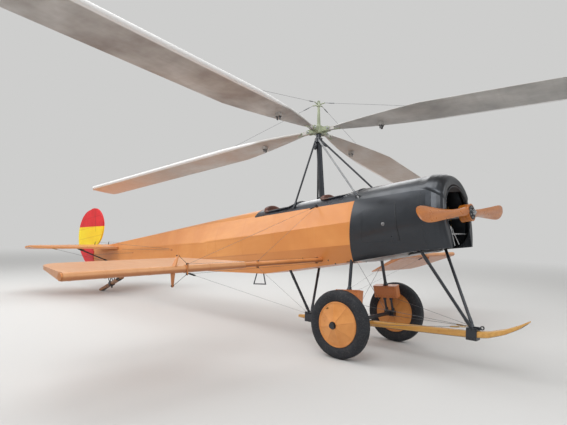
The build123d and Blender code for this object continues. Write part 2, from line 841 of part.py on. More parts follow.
# Tailplane set through the fuselage, leading edge down, with bearings for the elevator tube
tail_level = datum.offset(tail_height)
set_cos, set_sin = cos(radians(tail_incidence)), sin(radians(tail_incidence))
tail_plane = Plane(origin=at(elevator_hinge, 0, tail_height),
                   x_dir=datum.x_dir * set_cos + datum.z_dir * set_sin,
                   z_dir=datum.z_dir * set_cos - datum.x_dir * set_sin)
tail_edge = [(ahead, tail_half_span - inward) for ahead, inward in tail_outline]
far_edge = [(station, -span) for station, span in tail_edge]
with BuildPart() as tailplane:
    with BuildSketch(tail_plane.offset(-tail_plate / 2)):
        with BuildLine():
            Polyline(tail_edge[1], tail_edge[0], far_edge[0], far_edge[1])
            ThreePointArc(far_edge[1], far_edge[2], far_edge[3])
            Line(far_edge[3], tail_edge[3])
            ThreePointArc(tail_edge[3], tail_edge[2], tail_edge[1])
        make_face()
    extrude(amount=tail_plate)
    for span in elevator_bearings:
        bearing = Plane(origin=at(elevator_hinge, span - 14, tail_height), x_dir=tail_plane.x_dir,
                        z_dir=(0, 1, 0))
        with BuildSketch(bearing):
            Circle(hinge_eye)
            with Locations((15, 0)):
                Rectangle(30, 22)
        extrude(amount=28)
    rod(at(elevator_hinge, -tail_half_span, tail_height), at(elevator_hinge, tail_half_span, tail_height),
        hinge_tube + 2 * pin_gap, mode=Mode.SUBTRACT)
keep("tailplane", tailplane.part)

# Rear fuselage, slotted for the tailplane
with BuildPart() as rear_fuselage:
    add(split(fuselage.part, bisect_by=tail_joint, keep=Keep.BOTTOM))
    add(tailplane.part, mode=Mode.SUBTRACT)
keep("rear_fuselage", rear_fuselage.part)

# Elevator halves on one tube, cut back round the bearings
with BuildPart() as elevator:
    for sign in (1, -1):
        with BuildSketch(tail_level.offset(-tail_plate / 2 + 4)):
            edge = [(elevator_hinge - behind, sign * (tail_half_span - inward))
                    for behind, inward in elevator_outline]
            with BuildLine():
                front = Line((elevator_hinge, sign * elevator_inner),
                             (elevator_hinge, sign * (tail_half_span - 4)))
                ThreePointArc(front @ 1, edge[0], edge[1])
                Polyline(edge[1], edge[2], edge[3], edge[4], front @ 0)
            make_face()
        extrude(amount=tail_plate - 8)
    for span in elevator_bearings:
        with BuildSketch(tail_level.offset(-60)):
            with Locations((elevator_hinge, span)):
                Rectangle(64, 40)
        extrude(amount=120, mode=Mode.SUBTRACT)
    rod(at(elevator_hinge, 4 - tail_half_span, tail_height), at(elevator_hinge, tail_half_span - 4, tail_height),
        hinge_tube)
keep("elevator", elevator.part)

# Tailplane struts
for side, sign in (("left", 1), ("right", -1)):
    with BuildPart() as tail_strut:
        foot = at(tail_strut_foot[0], sign * tail_strut_foot[1], tail_strut_foot[2])
        rod(foot, at(tail_strut_top[0], sign * tail_strut_top[1], tail_strut_top[2]), 22)
        add(fuselage.part, mode=Mode.SUBTRACT)
        add(tailplane.part, mode=Mode.SUBTRACT)
    keep(f"tail_strut_{side}", tail_strut.part.solids().sort_by(SortBy.VOLUME)[-1])

# Balanced rudder turning on the post behind the fuselage
rudder_front = rudder_hinge - hinge_tube / 2 - 6
rudder_heel = (rudder_front, rudder_post_bottom - 8)
edge = [(rudder_hinge + ahead, tail_height + above) for ahead, above in rudder_outline]
with BuildPart() as rudder:
    with BuildSketch(centre_plane.offset(-rudder_plate / 2)):
        with BuildLine():
            ThreePointArc(edge[1], edge[2], edge[3])
            ThreePointArc(edge[3], edge[4], edge[5])
            ThreePointArc(edge[5], edge[6], edge[7])
            ThreePointArc(edge[7], edge[8], edge[9])
            ThreePointArc(edge[9], edge[10], rudder_heel)
            Polyline(rudder_heel, (rudder_front, edge[0][1]), edge[0], edge[1])
        make_face()
    extrude(amount=rudder_plate)
    for height in rudder_eyes:
        with BuildSketch(datum.offset(height - 25)):
            with Locations((rudder_hinge, 0)):
                Circle(hinge_eye)
            with Locations((rudder_hinge - 16, 0)):
                Rectangle(32, 24)
        extrude(amount=50)
    rod(at(rudder_hinge, 0, rudder_post_bottom - 40), at(rudder_hinge, 0, rudder_post_top + 8),
        hinge_tube + 2 * pin_gap, mode=Mode.SUBTRACT)
keep("rudder", rudder.part)

# Tail skid bar and the tubes that carry it
with BuildPart() as tail_skid:
    run = Vector(skid_foot) - Vector(skid_top)
    with BuildSketch(Plane(origin=skid_top, x_dir=(0, 1, 0), z_dir=run)):
        RectangleRounded(tail_skid_width, tail_skid_depth, 8)
    extrude(amount=run.length)
    split(bisect_by=Plane.XY, keep=Keep.TOP)
keep("tail_skid", tail_skid.part)
skid_middle = Vector(skid_top) + run * 0.48
with BuildPart() as tail_skid_frame:
    for sign in (1, -1):
        cheek = Vector(0, sign * (tail_skid_width / 2 - 4), 0)
        rod(Vector(skid_top) + run * 0.05 + cheek, at(-5720, sign * 44, 420), 18)
        rod(skid_middle + cheek, at(-5960, sign * 42, 420), 18)
        rod(skid_middle + cheek, at(-6300, sign * 34, 460), 18)
    for share in (0.05, 0.48):
        with BuildSketch(Plane(origin=Vector(skid_top) + run * share, x_dir=(0, 1, 0), z_dir=run)):
            RectangleRounded(tail_skid_width + 24, tail_skid_depth + 24, 12)
        extrude(amount=30, both=True)
    with BuildSketch(Plane.XZ.offset(-6)):
        with Locations((skid_middle.X + 10, skid_middle.Z - 64)):
            Circle(24)
        with Locations((skid_middle.X + 10, skid_middle.Z - 34)):
            Rectangle(48, 60)
        with Locations((skid_middle.X + 10, skid_middle.Z - 64)):
            Circle(tie_down / 2, mode=Mode.SUBTRACT)
    extrude(amount=12)
    add(tail_skid.part, mode=Mode.SUBTRACT)
    add(fuselage.part, mode=Mode.SUBTRACT)
keep("tail_skid_frame", tail_skid_frame.part.solids().sort_by(SortBy.VOLUME)[-1])

# Put the origin on the ground under the middle of the whole machine
extents = [shape.bounding_box() for shape in parts.values()]
to_origin = Vector(
    -(min(box.min.X for box in extents) + max(box.max.X for box in extents)) / 2,
    -(min(box.min.Y for box in extents) + max(box.max.Y for box in extents)) / 2,
    -min(box.min.Z for box in extents),
)
for name, shape in parts.items():
    placed = shape.moved(Location(to_origin))
    placed.label = name
    export_step(placed, f"parts/{name}.step")
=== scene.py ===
"""A gyrocopter of the 1920s on its wheels and tail skid, finished over its solid frame.

Lengths are in metres. The nose points to +X, left is +Y and up is +Z. Stations run
forwards along the fuselage from above the axle, and heights square to it.
"""
import math

import bmesh
import bpy
from mathutils import Matrix, Vector
from mathutils.bvhtree import BVHTree


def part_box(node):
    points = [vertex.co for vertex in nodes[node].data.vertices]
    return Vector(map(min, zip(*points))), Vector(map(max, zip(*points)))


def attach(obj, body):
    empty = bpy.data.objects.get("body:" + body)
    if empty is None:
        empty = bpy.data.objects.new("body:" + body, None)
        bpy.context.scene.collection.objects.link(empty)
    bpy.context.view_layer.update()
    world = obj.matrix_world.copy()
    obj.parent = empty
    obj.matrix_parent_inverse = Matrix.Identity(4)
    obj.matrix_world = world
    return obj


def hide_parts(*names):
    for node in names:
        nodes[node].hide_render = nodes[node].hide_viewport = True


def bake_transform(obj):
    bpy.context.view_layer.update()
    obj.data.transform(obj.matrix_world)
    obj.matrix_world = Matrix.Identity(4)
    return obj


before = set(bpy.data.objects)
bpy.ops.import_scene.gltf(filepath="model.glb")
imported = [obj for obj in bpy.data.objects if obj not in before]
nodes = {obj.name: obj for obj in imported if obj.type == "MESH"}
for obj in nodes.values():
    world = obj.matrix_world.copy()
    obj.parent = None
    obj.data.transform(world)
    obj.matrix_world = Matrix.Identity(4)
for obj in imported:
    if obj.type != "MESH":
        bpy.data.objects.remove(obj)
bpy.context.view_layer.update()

# Places
left_tyre, right_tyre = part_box("tyre_left"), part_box("tyre_right")
axle_foot = Vector((
    (left_tyre[0][0] + left_tyre[1][0]) / 2,
    (left_tyre[0][1] + left_tyre[1][1] + right_tyre[0][1] + right_tyre[1][1]) / 4,
    0.0,
))
noseward, leftward, skyward = Vector((1, 0, 0)), Vector((0, 1, 0)), Vector((0, 0, 1))
both_sides = ((1, "left"), (-1, "right"))
nose_up = math.radians(8.8)
along = Vector((math.cos(nose_up), 0, math.sin(nose_up)))
upright = Vector((-math.sin(nose_up), 0, math.cos(nose_up)))
datum_height = 1.060
half_track = 0.623
wheel_radius = 0.375


def spot(x, y, z):
    """A place measured from the ground under the middle of the axle."""
    return axle_foot + Vector((x, y, z))


def at(station, side, height):
    """A place measured along, across and square to the fuselage datum."""
    return axle_foot + Vector((0, side, datum_height)) + along * station + upright * height


def basis(origin, x_dir, y_dir, z_dir):
    """Frame matrix from an origin and three directions."""
    turn = Matrix((x_dir.normalized(), y_dir.normalized(), z_dir.normalized())).transposed()
    return Matrix.Translation(origin) @ turn.to_4x4()


def round_from(first, second, turn):
    """Direction turned from a first direction towards a second one."""
    return first * math.cos(turn) + second * math.sin(turn)


def turns(count, shift=0.0):
    """Even angles round a circle."""
    return [2 * math.pi * (index + shift) / count for index in range(count)]


def steps(start, end, count):
    """Evenly spaced numbers from start to end."""
    return [start + (end - start) * index / (count - 1) for index in range(count)]


fuselage_frame = basis(at(0, 0, 0), along, leftward, upright)
mast_aft = math.radians(6.8)
lean = Vector((-math.tan(mast_aft), math.tan(math.radians(6.4)), 1))
mast_collar = spot(-0.8374, -0.0128, 2.6)
rotor_centre = mast_collar + lean * 0.114
head_z = lean.normalized()
head_x = Vector((1, 0, math.tan(mast_aft))).normalized()
head_y = head_z.cross(head_x)
rotor_turn = 6.4
blade_droops = (3.6, 1.4, 2.4, 2.4)
flap_pin = 0.150


def arm_outward(index):
    """Direction of one rotor arm from the hub."""
    return round_from(head_x, head_y, math.radians(rotor_turn + 90 * index))


def blade_frame(index):
    """Frame of a blade: x out along it from the flap pin, y to its leading edge."""
    outward = arm_outward(index)
    droop = math.radians(blade_droops[index])
    x_dir, z_dir = round_from(outward, -head_z, droop), round_from(head_z, outward, droop)
    return basis(rotor_centre + outward * flap_pin, x_dir, z_dir.cross(x_dir), z_dir)


shaft_height = 0.386
engine_station = 0.880
propeller_station = 1.222
boom_ahead, boom_reach = -0.480, 3.5
boom_root = spot(boom_ahead, 0, 1.046)


def boom_tip(sign):
    """Outer end of the outrigger tube on one side."""
    return spot(boom_ahead, sign * boom_reach, 1.020)


def boom_out(sign):
    """Direction along the outrigger tube on one side."""
    return (boom_tip(sign) - boom_root).normalized()


# Finishes
one_a_metre = 0.31416  # scale of a band pattern that comes once a metre


def tone(red, green, blue):
    """Colour from three 0 to 255 values as they show."""
    shown = [value / 255 for value in (red, green, blue)]
    return tuple(v / 12.92 if v <= 0.04045 else ((v + 0.055) / 1.055) ** 2.4 for v in shown) + (1.0,)


def feed(tree, socket, value):
    """Link an output to an input, or set the input to a plain value."""
    if isinstance(value, bpy.types.NodeSocket):
        tree.links.new(value, socket)
    else:
        socket.default_value = value


def add(tree, kind, inputs=(), **settings):
    """Add a node to a tree with its settings and its inputs, as (input, value) pairs."""
    made = tree.nodes.new(kind)
    for key, value in settings.items():
        setattr(made, key, value)
    for key, value in inputs:
        feed(tree, made.inputs[key], value)
    return made


class Finish:
    """A paint, cloth, wood or metal finish built up from layered patterns."""

    def __init__(self, name, roughness=0.5, metallic=0.0, coat=0.0, sheen=0.0, specular=0.5, place=None):
        self.material = bpy.data.materials.new(name)
        self.material.use_nodes = True
        self.tree = self.material.node_tree
        self.tree.nodes.clear()
        self.skin = self.node("ShaderNodeBsdfPrincipled", (
            ("Roughness", roughness), ("Metallic", metallic), ("Coat Weight", coat), ("Coat Roughness", 0.12),
            ("Sheen Weight", sheen), ("Specular IOR Level", specular),
        ))
        self.node("ShaderNodeOutputMaterial", (("Surface", self.skin.outputs["BSDF"]),))
        self.origin = self.node("ShaderNodeTexCoord").outputs["Object"]
        if place is not None:
            square = place.inverted()
            self.origin = self.node("ShaderNodeMapping", (
                ("Location", square.to_translation()), ("Rotation", square.to_euler("XYZ")),
                ("Vector", self.origin),
            )).outputs["Vector"]

    def node(self, kind, inputs=(), **settings):
        return add(self.tree, kind, inputs, **settings)

    def pattern(self, kind, stretch, inputs, **settings):
        """A texture on the finish's own coordinates, drawn out or squeezed along each direction."""
        place = self.origin
        if stretch:
            place = self.node("ShaderNodeMapping", (("Scale", stretch), ("Vector", place))).outputs["Vector"]
        return self.node(kind, (("Vector", place),) + inputs, **settings)

    def noise(self, scale, detail=4.0, rough=0.55, distortion=0.0, stretch=None):
        return self.pattern("ShaderNodeTexNoise", stretch, (
            ("Scale", scale), ("Detail", detail), ("Roughness", rough), ("Distortion", distortion),
        )).outputs["Fac"]

    def bands(self, scale, direction="X", distortion=0.0, detail=2.0, stretch=None):
        return self.pattern(
            "ShaderNodeTexWave", stretch, (("Scale", scale), ("Distortion", distortion), ("Detail", detail)),
            wave_type="BANDS", bands_direction=direction,
        ).outputs["Fac"]

    def cells(self, scale):
        return self.pattern("ShaderNodeTexVoronoi", None, (("Scale", scale),), feature="F1").outputs["Distance"]

    def part_of(self, letter):
        return self.node("ShaderNodeSeparateXYZ", (("Vector", self.origin),)).outputs[letter]

    def sum(self, operation, first, second=0.0, third=None):
        inputs = ((0, first), (1, second)) + (() if third is None else ((2, third),))
        return self.node("ShaderNodeMath", inputs, operation=operation).outputs[0]

    def times(self, first, second):
        return self.sum("MULTIPLY", first, second)

    def spread(self, value, low, high, new_low=0.0, new_high=1.0, smooth=False):
        """A value moved from one range to another, held at its ends."""
        return self.node("ShaderNodeMapRange", (
            ("From Min", low), ("From Max", high), ("To Min", new_low), ("To Max", new_high), ("Value", value),
        ), interpolation_type="SMOOTHSTEP" if smooth else "LINEAR").outputs["Result"]

    def line(self, value, gap, width):
        """1 on narrow lines that repeat at a gap along a coordinate, else 0."""
        wrapped = self.sum("PINGPONG", value, gap / 2)
        return self.spread(wrapped, width * 0.5, width * 0.2, smooth=True)

    def sag(self, gap, direction):
        """Hollows of cloth drawn tight between ribs that stand at a gap."""
        return self.sum("SUBTRACT", 1.0, self.bands(one_a_metre / gap, direction, 0.0, 0.0))

    def mix(self, factor, first, second):
        """A colour between two others."""
        inputs = ((0, factor), (6, first), (7, second))
        return self.node("ShaderNodeMix", inputs, data_type="RGBA", blend_type="MIX").outputs[2]

    def underneath(self, most, level=-0.05, full=-0.65):
        """Up to most on faces that look down, 0 on those that look up."""
        normal = self.node("ShaderNodeNewGeometry").outputs["Normal"]
        facing = self.node("ShaderNodeSeparateXYZ", (("Vector", normal),))
        return self.spread(facing.outputs["Z"], level, full, 0.0, most, smooth=True)

    def colour(self, value):
        feed(self.tree, self.skin.inputs["Base Color"], value)

    def rough(self, low, high, *noise, **settings):
        """Roughness that drifts between two values with a noise."""
        drift = self.spread(self.noise(*noise, **settings), 0.3, 0.7, low, high)
        feed(self.tree, self.skin.inputs["Roughness"], drift)

    def bump(self, height, strength, distance):
        """Raise the surface by a pattern, over the bumps it has already."""
        made = self.node("ShaderNodeBump", (("Strength", strength), ("Distance", distance), ("Height", height)))
        normal = self.skin.inputs["Normal"]
        if normal.links:
            feed(self.tree, made.inputs["Normal"], normal.links[0].from_socket)
        feed(self.tree, normal, made.outputs["Normal"])


def doped_linen(
    name, lit, deep, place, ribs=None, rib_axis="X", gloss=0.42, specular=0.4,
    underside_shade=tone(186, 108, 54), level=-0.05, full=-0.65,
):
    """Doped linen over ribs: brushed colour, taped ribs, a fine weave and painted shade on its underside."""
    made = Finish(name, roughness=gloss, coat=0.35, place=place, specular=specular)
    made.skin.inputs["Coat Roughness"].default_value = 0.28
    drift = made.spread(made.noise(1.1, 3, 0.6, 0.4), 0.32, 0.68)
    strokes = made.spread(made.noise(5.0, 5, 0.65, stretch=(0.25, 2.2, 2.2)), 0.35, 0.68, 0.0, 0.45)
    flecks = made.spread(made.noise(90, 3, 0.6), 0.62, 0.78, 0.0, 0.18)
    base = made.mix(flecks, made.mix(strokes, made.mix(drift, deep, lit), deep), tone(150, 92, 48))
    if ribs:
        tape = made.line(made.part_of(rib_axis), ribs, 0.034)
        base = made.mix(made.times(tape, 0.30), base, deep)
        made.bump(tape, 0.35, 0.0012)
        made.bump(made.sag(ribs, rib_axis), 0.20, 0.004)
    # Faces that look down are mixed towards a darker tone: painted shade.
    made.colour(made.mix(made.underneath(0.75, level, full), base, underside_shade))
    made.rough(gloss - 0.08, gloss + 0.12, 14, 4, 0.6)
    made.bump(made.times(made.bands(260, "X", 0.4, 1), made.bands(260, "Z", 0.4, 1)), 0.10, 0.0003)
    made.bump(made.noise(3.2, 2, 0.5), 0.12, 0.006)
    return made


def black_enamel(name, body, sheen_tone, roughness, ripple, place=None):
    """Gloss enamel on hand-beaten sheet, with faint dusty patches of painted sheen and rubbed spots."""
    made = Finish(name, roughness=roughness, coat=0.3, place=place, specular=0.75)
    made.skin.inputs["Specular Tint"].default_value = (0.80, 0.88, 1.0, 1.0)
    # Noisy patches mix the body towards the lighter, bluer second tone: faint dust and painted sheen.
    dust = made.spread(made.noise(2.4, 5, 0.62), 0.45, 0.75, 0.0, 0.55)
    scuffs = made.spread(made.noise(38, 5, 0.7, 0.6, stretch=(0.4, 1.6, 1.6)), 0.60, 0.72, 0.0, 0.35)
    made.colour(made.mix(scuffs, made.mix(dust, body, sheen_tone), tone(46, 49, 56)))
    made.rough(roughness - 0.07, roughness + 0.14, 6, 5, 0.6)
    made.bump(made.noise(3.6, 2, 0.5), ripple, 0.010)
    made.bump(made.noise(160, 2, 0.5), 0.05, 0.0006)
    return made


def leather(name, worn, deep, grain, place=None, brown_ends=()):
    """Tanned hide, grained, creased and rubbed; black between its brown ends where they are given."""
    made = Finish(name, roughness=0.5, sheen=0.08, specular=0.45, place=place)
    patches = made.spread(made.noise(9, 4, 0.6), 0.35, 0.7)
    rubs = made.spread(made.noise(42, 5, 0.7, 1.2), 0.55, 0.75, 0.0, 0.5)
    base = made.mix(rubs, made.mix(patches, deep, worn), tone(150, 92, 66))
    if brown_ends:
        station, brown, soft = made.part_of("X"), 0.0, 0.008
        for fore, aft in brown_ends:
            behind = made.spread(station, fore + soft, fore - soft)
            brown = made.sum("MAXIMUM", made.times(behind, made.spread(station, aft - soft, aft + soft)), brown)
        base = made.mix(brown, made.mix(patches, tone(38, 41, 49), tone(66, 71, 83)), base)
    made.colour(base)
    made.rough(0.36, 0.64, 25, 4, 0.6)
    made.bump(made.cells(grain), 0.35, 0.0009)
    made.bump(made.noise(60, 4, 0.6, 1.5), 0.30, 0.0016)
    return made


def varnished_timber(name, pale, dark, place, laminations=0.0):
    """Varnished timber with long grain, pores and optional glued laminations."""
    made = Finish(name, roughness=0.30, coat=0.5, place=place, specular=0.4)
    rings = made.sum("MULTIPLY_ADD", made.bands(5.5, "Y", 4.0, 3, stretch=(0.7, 9.0, 9.0)), 0.6, 0.4)
    pores = made.spread(made.noise(60, 5, 0.7, stretch=(0.08, 1.5, 1.5)), 0.52, 0.72, 0.0, 0.35)
    drift = made.spread(made.noise(3.0, 3, 0.6), 0.3, 0.7, 0.0, 0.6)
    base = made.mix(pores, made.mix(drift, made.mix(rings, dark, pale), pale), dark)
    if laminations:
        glue = made.line(made.part_of("Z"), laminations, 0.0022)
        alternate = made.spread(made.bands(one_a_metre / 2 / laminations, "Z", 0.2, 0.0), 0.3, 0.7)
        base = made.mix(made.times(alternate, 0.26), base, dark)
        base = made.mix(made.times(glue, 0.22), base, tone(120, 66, 30))
    made.colour(base)
    made.rough(0.24, 0.44, 18, 4, 0.6)
    made.bump(pores, 0.08, 0.0006)
    made.bump(made.noise(7, 3, 0.5), 0.06, 0.003)
    return made


def bare_metal(name, bright, dull, roughness=0.38, metallic=0.85, streak=(1, 1, 1)):
    """Worked metal with oil film, tarnish and fine tool marks."""
    made = Finish(name, roughness=roughness, metallic=metallic)
    film = made.spread(made.noise(11, 5, 0.65), 0.35, 0.7)
    spots = made.spread(made.noise(140, 3, 0.6), 0.58, 0.75, 0.0, 0.5)
    made.colour(made.mix(spots, made.mix(film, bright, dull), tone(70, 62, 55)))
    made.rough(roughness - 0.1, roughness + 0.16, 30, 4, 0.6, stretch=streak)
    made.bump(made.noise(260, 3, 0.6, stretch=streak), 0.10, 0.0004)
    return made


def satin_paint(name, lit, deep, roughness=0.42, chips=None, place=None, underside_shade=None):
    """Brushed satin paint over steel or ply, chipped here and there, with painted shade on faces that look down when
    an underside tone is given.
    """
    made = Finish(name, roughness=roughness, coat=0.15, place=place, specular=0.42)
    base = made.mix(made.spread(made.noise(4.5, 4, 0.6), 0.32, 0.7), deep, lit)
    if chips:
        worn = made.spread(made.noise(55, 5, 0.72, 0.8), 0.66, 0.70, 0.0, 0.8)
        base = made.mix(worn, base, chips)
        made.bump(worn, 0.25, 0.0005)
    # Painted shade: faces that look down are mixed towards the given darker tone.
    if underside_shade:
        base = made.mix(made.underneath(0.85, 0.40, -0.30), base, underside_shade)
    made.colour(base)
    made.rough(roughness - 0.08, roughness + 0.13, 20, 4, 0.6)
    made.bump(made.noise(70, 3, 0.6), 0.10, 0.0008)
    return made


def wheel_gores(name, centre):
    """Doped wheel cover sewn from eight gores, each a little flatter than the cone under it."""
    made = satin_paint(
        name, tone(228, 158, 90), tone(206, 134, 68), 0.34, tone(150, 96, 52), Matrix.Translation(centre),
    )
    across, upward = made.part_of("X"), made.part_of("Z")
    reach = made.sum("SQRT", made.sum("MULTIPLY_ADD", across, across, made.times(upward, upward)))
    turned = made.sum("ADD", made.sum("ARCTAN2", upward, across), 3.2987)
    hollow = made.sum("SUBTRACT", 1.0, made.sum("COSINE", made.sum("PINGPONG", turned, math.pi / 8)))
    made.bump(made.times(hollow, reach), 1.0, 0.55)
    return made


def tyre_rubber(name):
    """Aged black rubber, dusty on the tread, with a fine mould grain."""
    made = Finish(name, roughness=0.72, specular=0.3)
    bloom = made.spread(made.noise(7, 5, 0.65), 0.4, 0.72, 0.0, 0.7)
    dust = made.spread(made.noise(60, 5, 0.7), 0.52, 0.74, 0.0, 0.35)
    made.colour(made.mix(dust, made.mix(bloom, tone(38, 40, 45), tone(56, 58, 62)), tone(112, 108, 102)))
    made.rough(0.6, 0.85, 16, 4, 0.6)
    made.bump(made.noise(320, 3, 0.6), 0.22, 0.0006)
    made.bump(made.cells(28), 0.08, 0.0015)
    return made


# Painted shade on each blade's underside, one tone per blade as the light falls on it.
blade_underside_shades = (tone(140, 139, 138), tone(178, 166, 156), tone(182, 158, 141), tone(130, 120, 115))
blade_ribs = 0.24


def rotor_fabric(index):
    """Aluminium-doped blade cloth: rib tapes across it, painted shade on its underside, a painted warm reflection
    under the third blade and a painted highlight along its leading edge.
    """
    made = Finish(f"blade_cloth_{index + 1}", roughness=0.46, coat=0.1, place=blade_frame(index), specular=0.4)
    drift = made.spread(made.noise(1.6, 4, 0.6), 0.32, 0.7)
    streaks = made.spread(made.noise(9, 5, 0.65, stretch=(0.15, 2.0, 1.0)), 0.45, 0.75, 0.0, 0.4)
    base = made.mix(streaks, made.mix(drift, tone(176, 173, 169), tone(194, 192, 189)), tone(160, 154, 148))
    # Faces that look down take this blade's underside tone: painted shade.
    lower = made.mix(drift, blade_underside_shades[index], base)
    # Painted warm reflection under the outer part of the third blade.
    if index == 2:
        warm_reflection = made.spread(made.part_of("X"), 2.6, 4.4, 0.0, 0.8, smooth=True)
        lower = made.mix(warm_reflection, lower, tone(226, 172, 136))
    base = made.mix(made.underneath(0.9), base, lower)
    tape = made.times(made.line(made.part_of("X"), blade_ribs, 0.030), made.spread(made.part_of("X"), 0.75, 0.80))
    base = made.mix(made.times(tape, 0.10), base, tone(150, 146, 141))
    # A painted highlight along the leading edge: near-white mixed in towards its front.
    nose = made.spread(made.part_of("Y"), 0.150, 0.172, 0.0, 0.9, smooth=True)
    made.colour(made.mix(nose, base, tone(236, 236, 236)))
    made.rough(0.36, 0.56, 12, 4, 0.6)
    made.bump(tape, 0.3, 0.0010)
    made.bump(made.sag(blade_ribs, "X"), 0.25, 0.003)
    made.bump(made.noise(220, 2, 0.5), 0.08, 0.0004)
    return made


def rudder_bands(name):
    """Red cloth with one broad yellow band across it and a dark line over its post."""
    made = Finish(name, roughness=0.42, coat=0.12, specular=0.4)
    x, z = made.part_of("X"), made.part_of("Z")
    level = made.sum("SUBTRACT", z, made.times(made.sum("SUBTRACT", x, axle_foot.x), 0.053))
    yellow = made.times(made.spread(level, 1.2585, 1.2615), made.spread(level, 1.6755, 1.6725))
    drift = made.spread(made.noise(3.0, 4, 0.6), 0.32, 0.7)
    red = made.mix(drift, tone(200, 24, 32), tone(222, 38, 46))
    gold = made.mix(drift, tone(240, 204, 14), tone(248, 222, 34))
    tape = made.line(made.sum("ADD", z, made.times(x, -0.155)), 0.21, 0.028)
    station = made.sum("ADD", made.times(x, along.x), made.times(z, along.z))
    off_post = made.sum("ABSOLUTE", made.sum("SUBTRACT", station, at(-6.660, 0, 1.0).dot(along)))
    post = made.times(made.spread(off_post, 0.0065, 0.0035), made.spread(z, 1.20, 1.215))
    base = made.mix(made.times(post, 0.75), made.mix(yellow, red, gold), tone(60, 40, 30))
    made.bump(post, -0.4, 0.002)
    made.colour(made.mix(made.times(tape, 0.16), base, tone(120, 30, 26)))
    made.rough(0.34, 0.54, 14, 4, 0.6)
    made.bump(tape, 0.3, 0.0010)
    made.bump(made.noise(260, 2, 0.5), 0.08, 0.0003)
    return made


def webbing(name, pale, dark):
    """Woven strap with a diagonal twill."""
    made = Finish(name, roughness=0.8, sheen=0.2, specular=0.25)
    twill = made.bands(220, "DIAGONAL", 0.3, 1)
    grime = made.spread(made.noise(20, 4, 0.6), 0.4, 0.7, 0.0, 0.5)
    made.colour(made.mix(grime, made.mix(twill, dark, pale), dark))
    made.rough(0.7, 0.9, 50, 3, 0.6)
    made.bump(twill, 0.4, 0.0008)
    return made


chip_brown = tone(150, 96, 52)
fuselage_cloth = doped_linen("fuselage_linen", tone(230, 157, 86), tone(213, 135, 66), fuselage_frame, 0.62, "X")
tail_cloth = doped_linen("tail_linen", tone(222, 158, 104), tone(204, 136, 82), fuselage_frame, 0.21, "Y")
# The aileron cloth carries painted shade: a darker tone on faces that look down, reaching up onto its sides.
aileron_cloth = doped_linen(
    "aileron_linen", tone(226, 168, 118), tone(208, 146, 96), basis(boom_root, -noseward, boom_out(1), skyward),
    0.26, "Y", underside_shade=tone(168, 100, 54), level=0.30, full=-0.30,
)
boot_cloth = doped_linen("spring_boot_linen", tone(206, 128, 74), tone(184, 108, 58), fuselage_frame)
band_cloth = rudder_bands("rudder_bands_linen")
blade_cloths = [rotor_fabric(index) for index in range(4)]
# The second tone of each enamel is a painted sheen, laid on in noisy patches.
cowl_enamel = black_enamel("cowl_black_enamel", tone(10, 11, 13), tone(22, 24, 30), 0.34, 0.42, fuselage_frame)
deck_enamel = black_enamel("deck_black_enamel", tone(26, 28, 34), tone(48, 53, 63), 0.30, 0.26, fuselage_frame)
tube_enamel = black_enamel("strut_black_enamel", tone(20, 20, 23), tone(36, 36, 41), 0.36, 0.04)
coaming_hide = leather(
    "coaming_hide", tone(112, 62, 46), tone(76, 40, 30), 420, fuselage_frame, ((-0.370, -0.60), (-1.400, -1.60)),
)
seat_hide = leather("seat_hide", tone(122, 78, 50), tone(86, 50, 30), 360)
board_timber = varnished_timber(
    "instrument_board_timber", tone(150, 92, 50), tone(104, 58, 30), basis(at(0, 0, 0), leftward, upright, along),
)
engine_steel = bare_metal("engine_steel", tone(150, 150, 152), tone(96, 94, 92), 0.36)
bright_steel = bare_metal("bright_steel", tone(206, 208, 210), tone(150, 152, 154), 0.28)
dark_steel = bare_metal("dark_steel", tone(84, 86, 88), tone(52, 52, 54), 0.42)
brass = bare_metal("brass_fittings", tone(172, 140, 84), tone(122, 96, 56), 0.36)
stay_silver = satin_paint("stay_silver_paint", tone(158, 160, 162), tone(120, 122, 125), 0.34)
wire_steel = bare_metal("wire_steel", tone(128, 130, 134), tone(88, 90, 94), 0.42)
pan_metal = bare_metal("underpan_alloy", tone(196, 198, 200), tone(150, 152, 155), 0.36, 0.75, (0.2, 2, 2))
propeller_timber = varnished_timber(
    "propeller_timber", tone(196, 114, 18), tone(152, 78, 10),
    basis(at(propeller_station, 0, shaft_height), leftward, upright, along), laminations=0.019,
)
skid_timber = varnished_timber(
    "skid_ash", tone(214, 164, 88), tone(182, 126, 60), basis(spot(0, 0, 0), noseward, leftward, skyward),
)
tail_skid_timber = varnished_timber("tail_skid_timber", tone(150, 100, 54), tone(108, 68, 34), fuselage_frame)
hub_green = satin_paint("rotor_head_green", tone(160, 168, 140), tone(128, 136, 112), 0.44, tone(100, 96, 84))
hub_gloss = satin_paint("king_post_pale_green", tone(184, 190, 170), tone(158, 166, 144), 0.4)
wheel_paint = satin_paint("wheel_orange_paint", tone(226, 156, 90), tone(206, 134, 70), 0.4, chip_brown)
disc_paints = {
    side: wheel_gores(f"wheel_disc_paint_{side}", spot(0, sign * half_track, wheel_radius))
    for sign, side in both_sides
}
# The outrigger tube carries painted shade: a darker tone on faces that look down.
boom_paint = satin_paint(
    "outrigger_orange_paint", tone(230, 158, 98), tone(210, 136, 76), 0.42, chip_brown, underside_shade=tone(158, 96, 54),
)
rubber = tyre_rubber("tyre_rubber")
strap_web = webbing("harness_web", tone(176, 160, 124), tone(126, 110, 80))
bungee_cord = webbing("bungee_braid", tone(66, 62, 58), tone(38, 36, 35))
grip_wood = varnished_timber("grip_timber", tone(120, 74, 42), tone(82, 46, 26), fuselage_frame)
dial_black = satin_paint("dial_face_black", tone(34, 34, 36), tone(24, 24, 26), 0.25)
dial_white = satin_paint("dial_marks_white", tone(232, 230, 222), tone(214, 210, 198), 0.5)

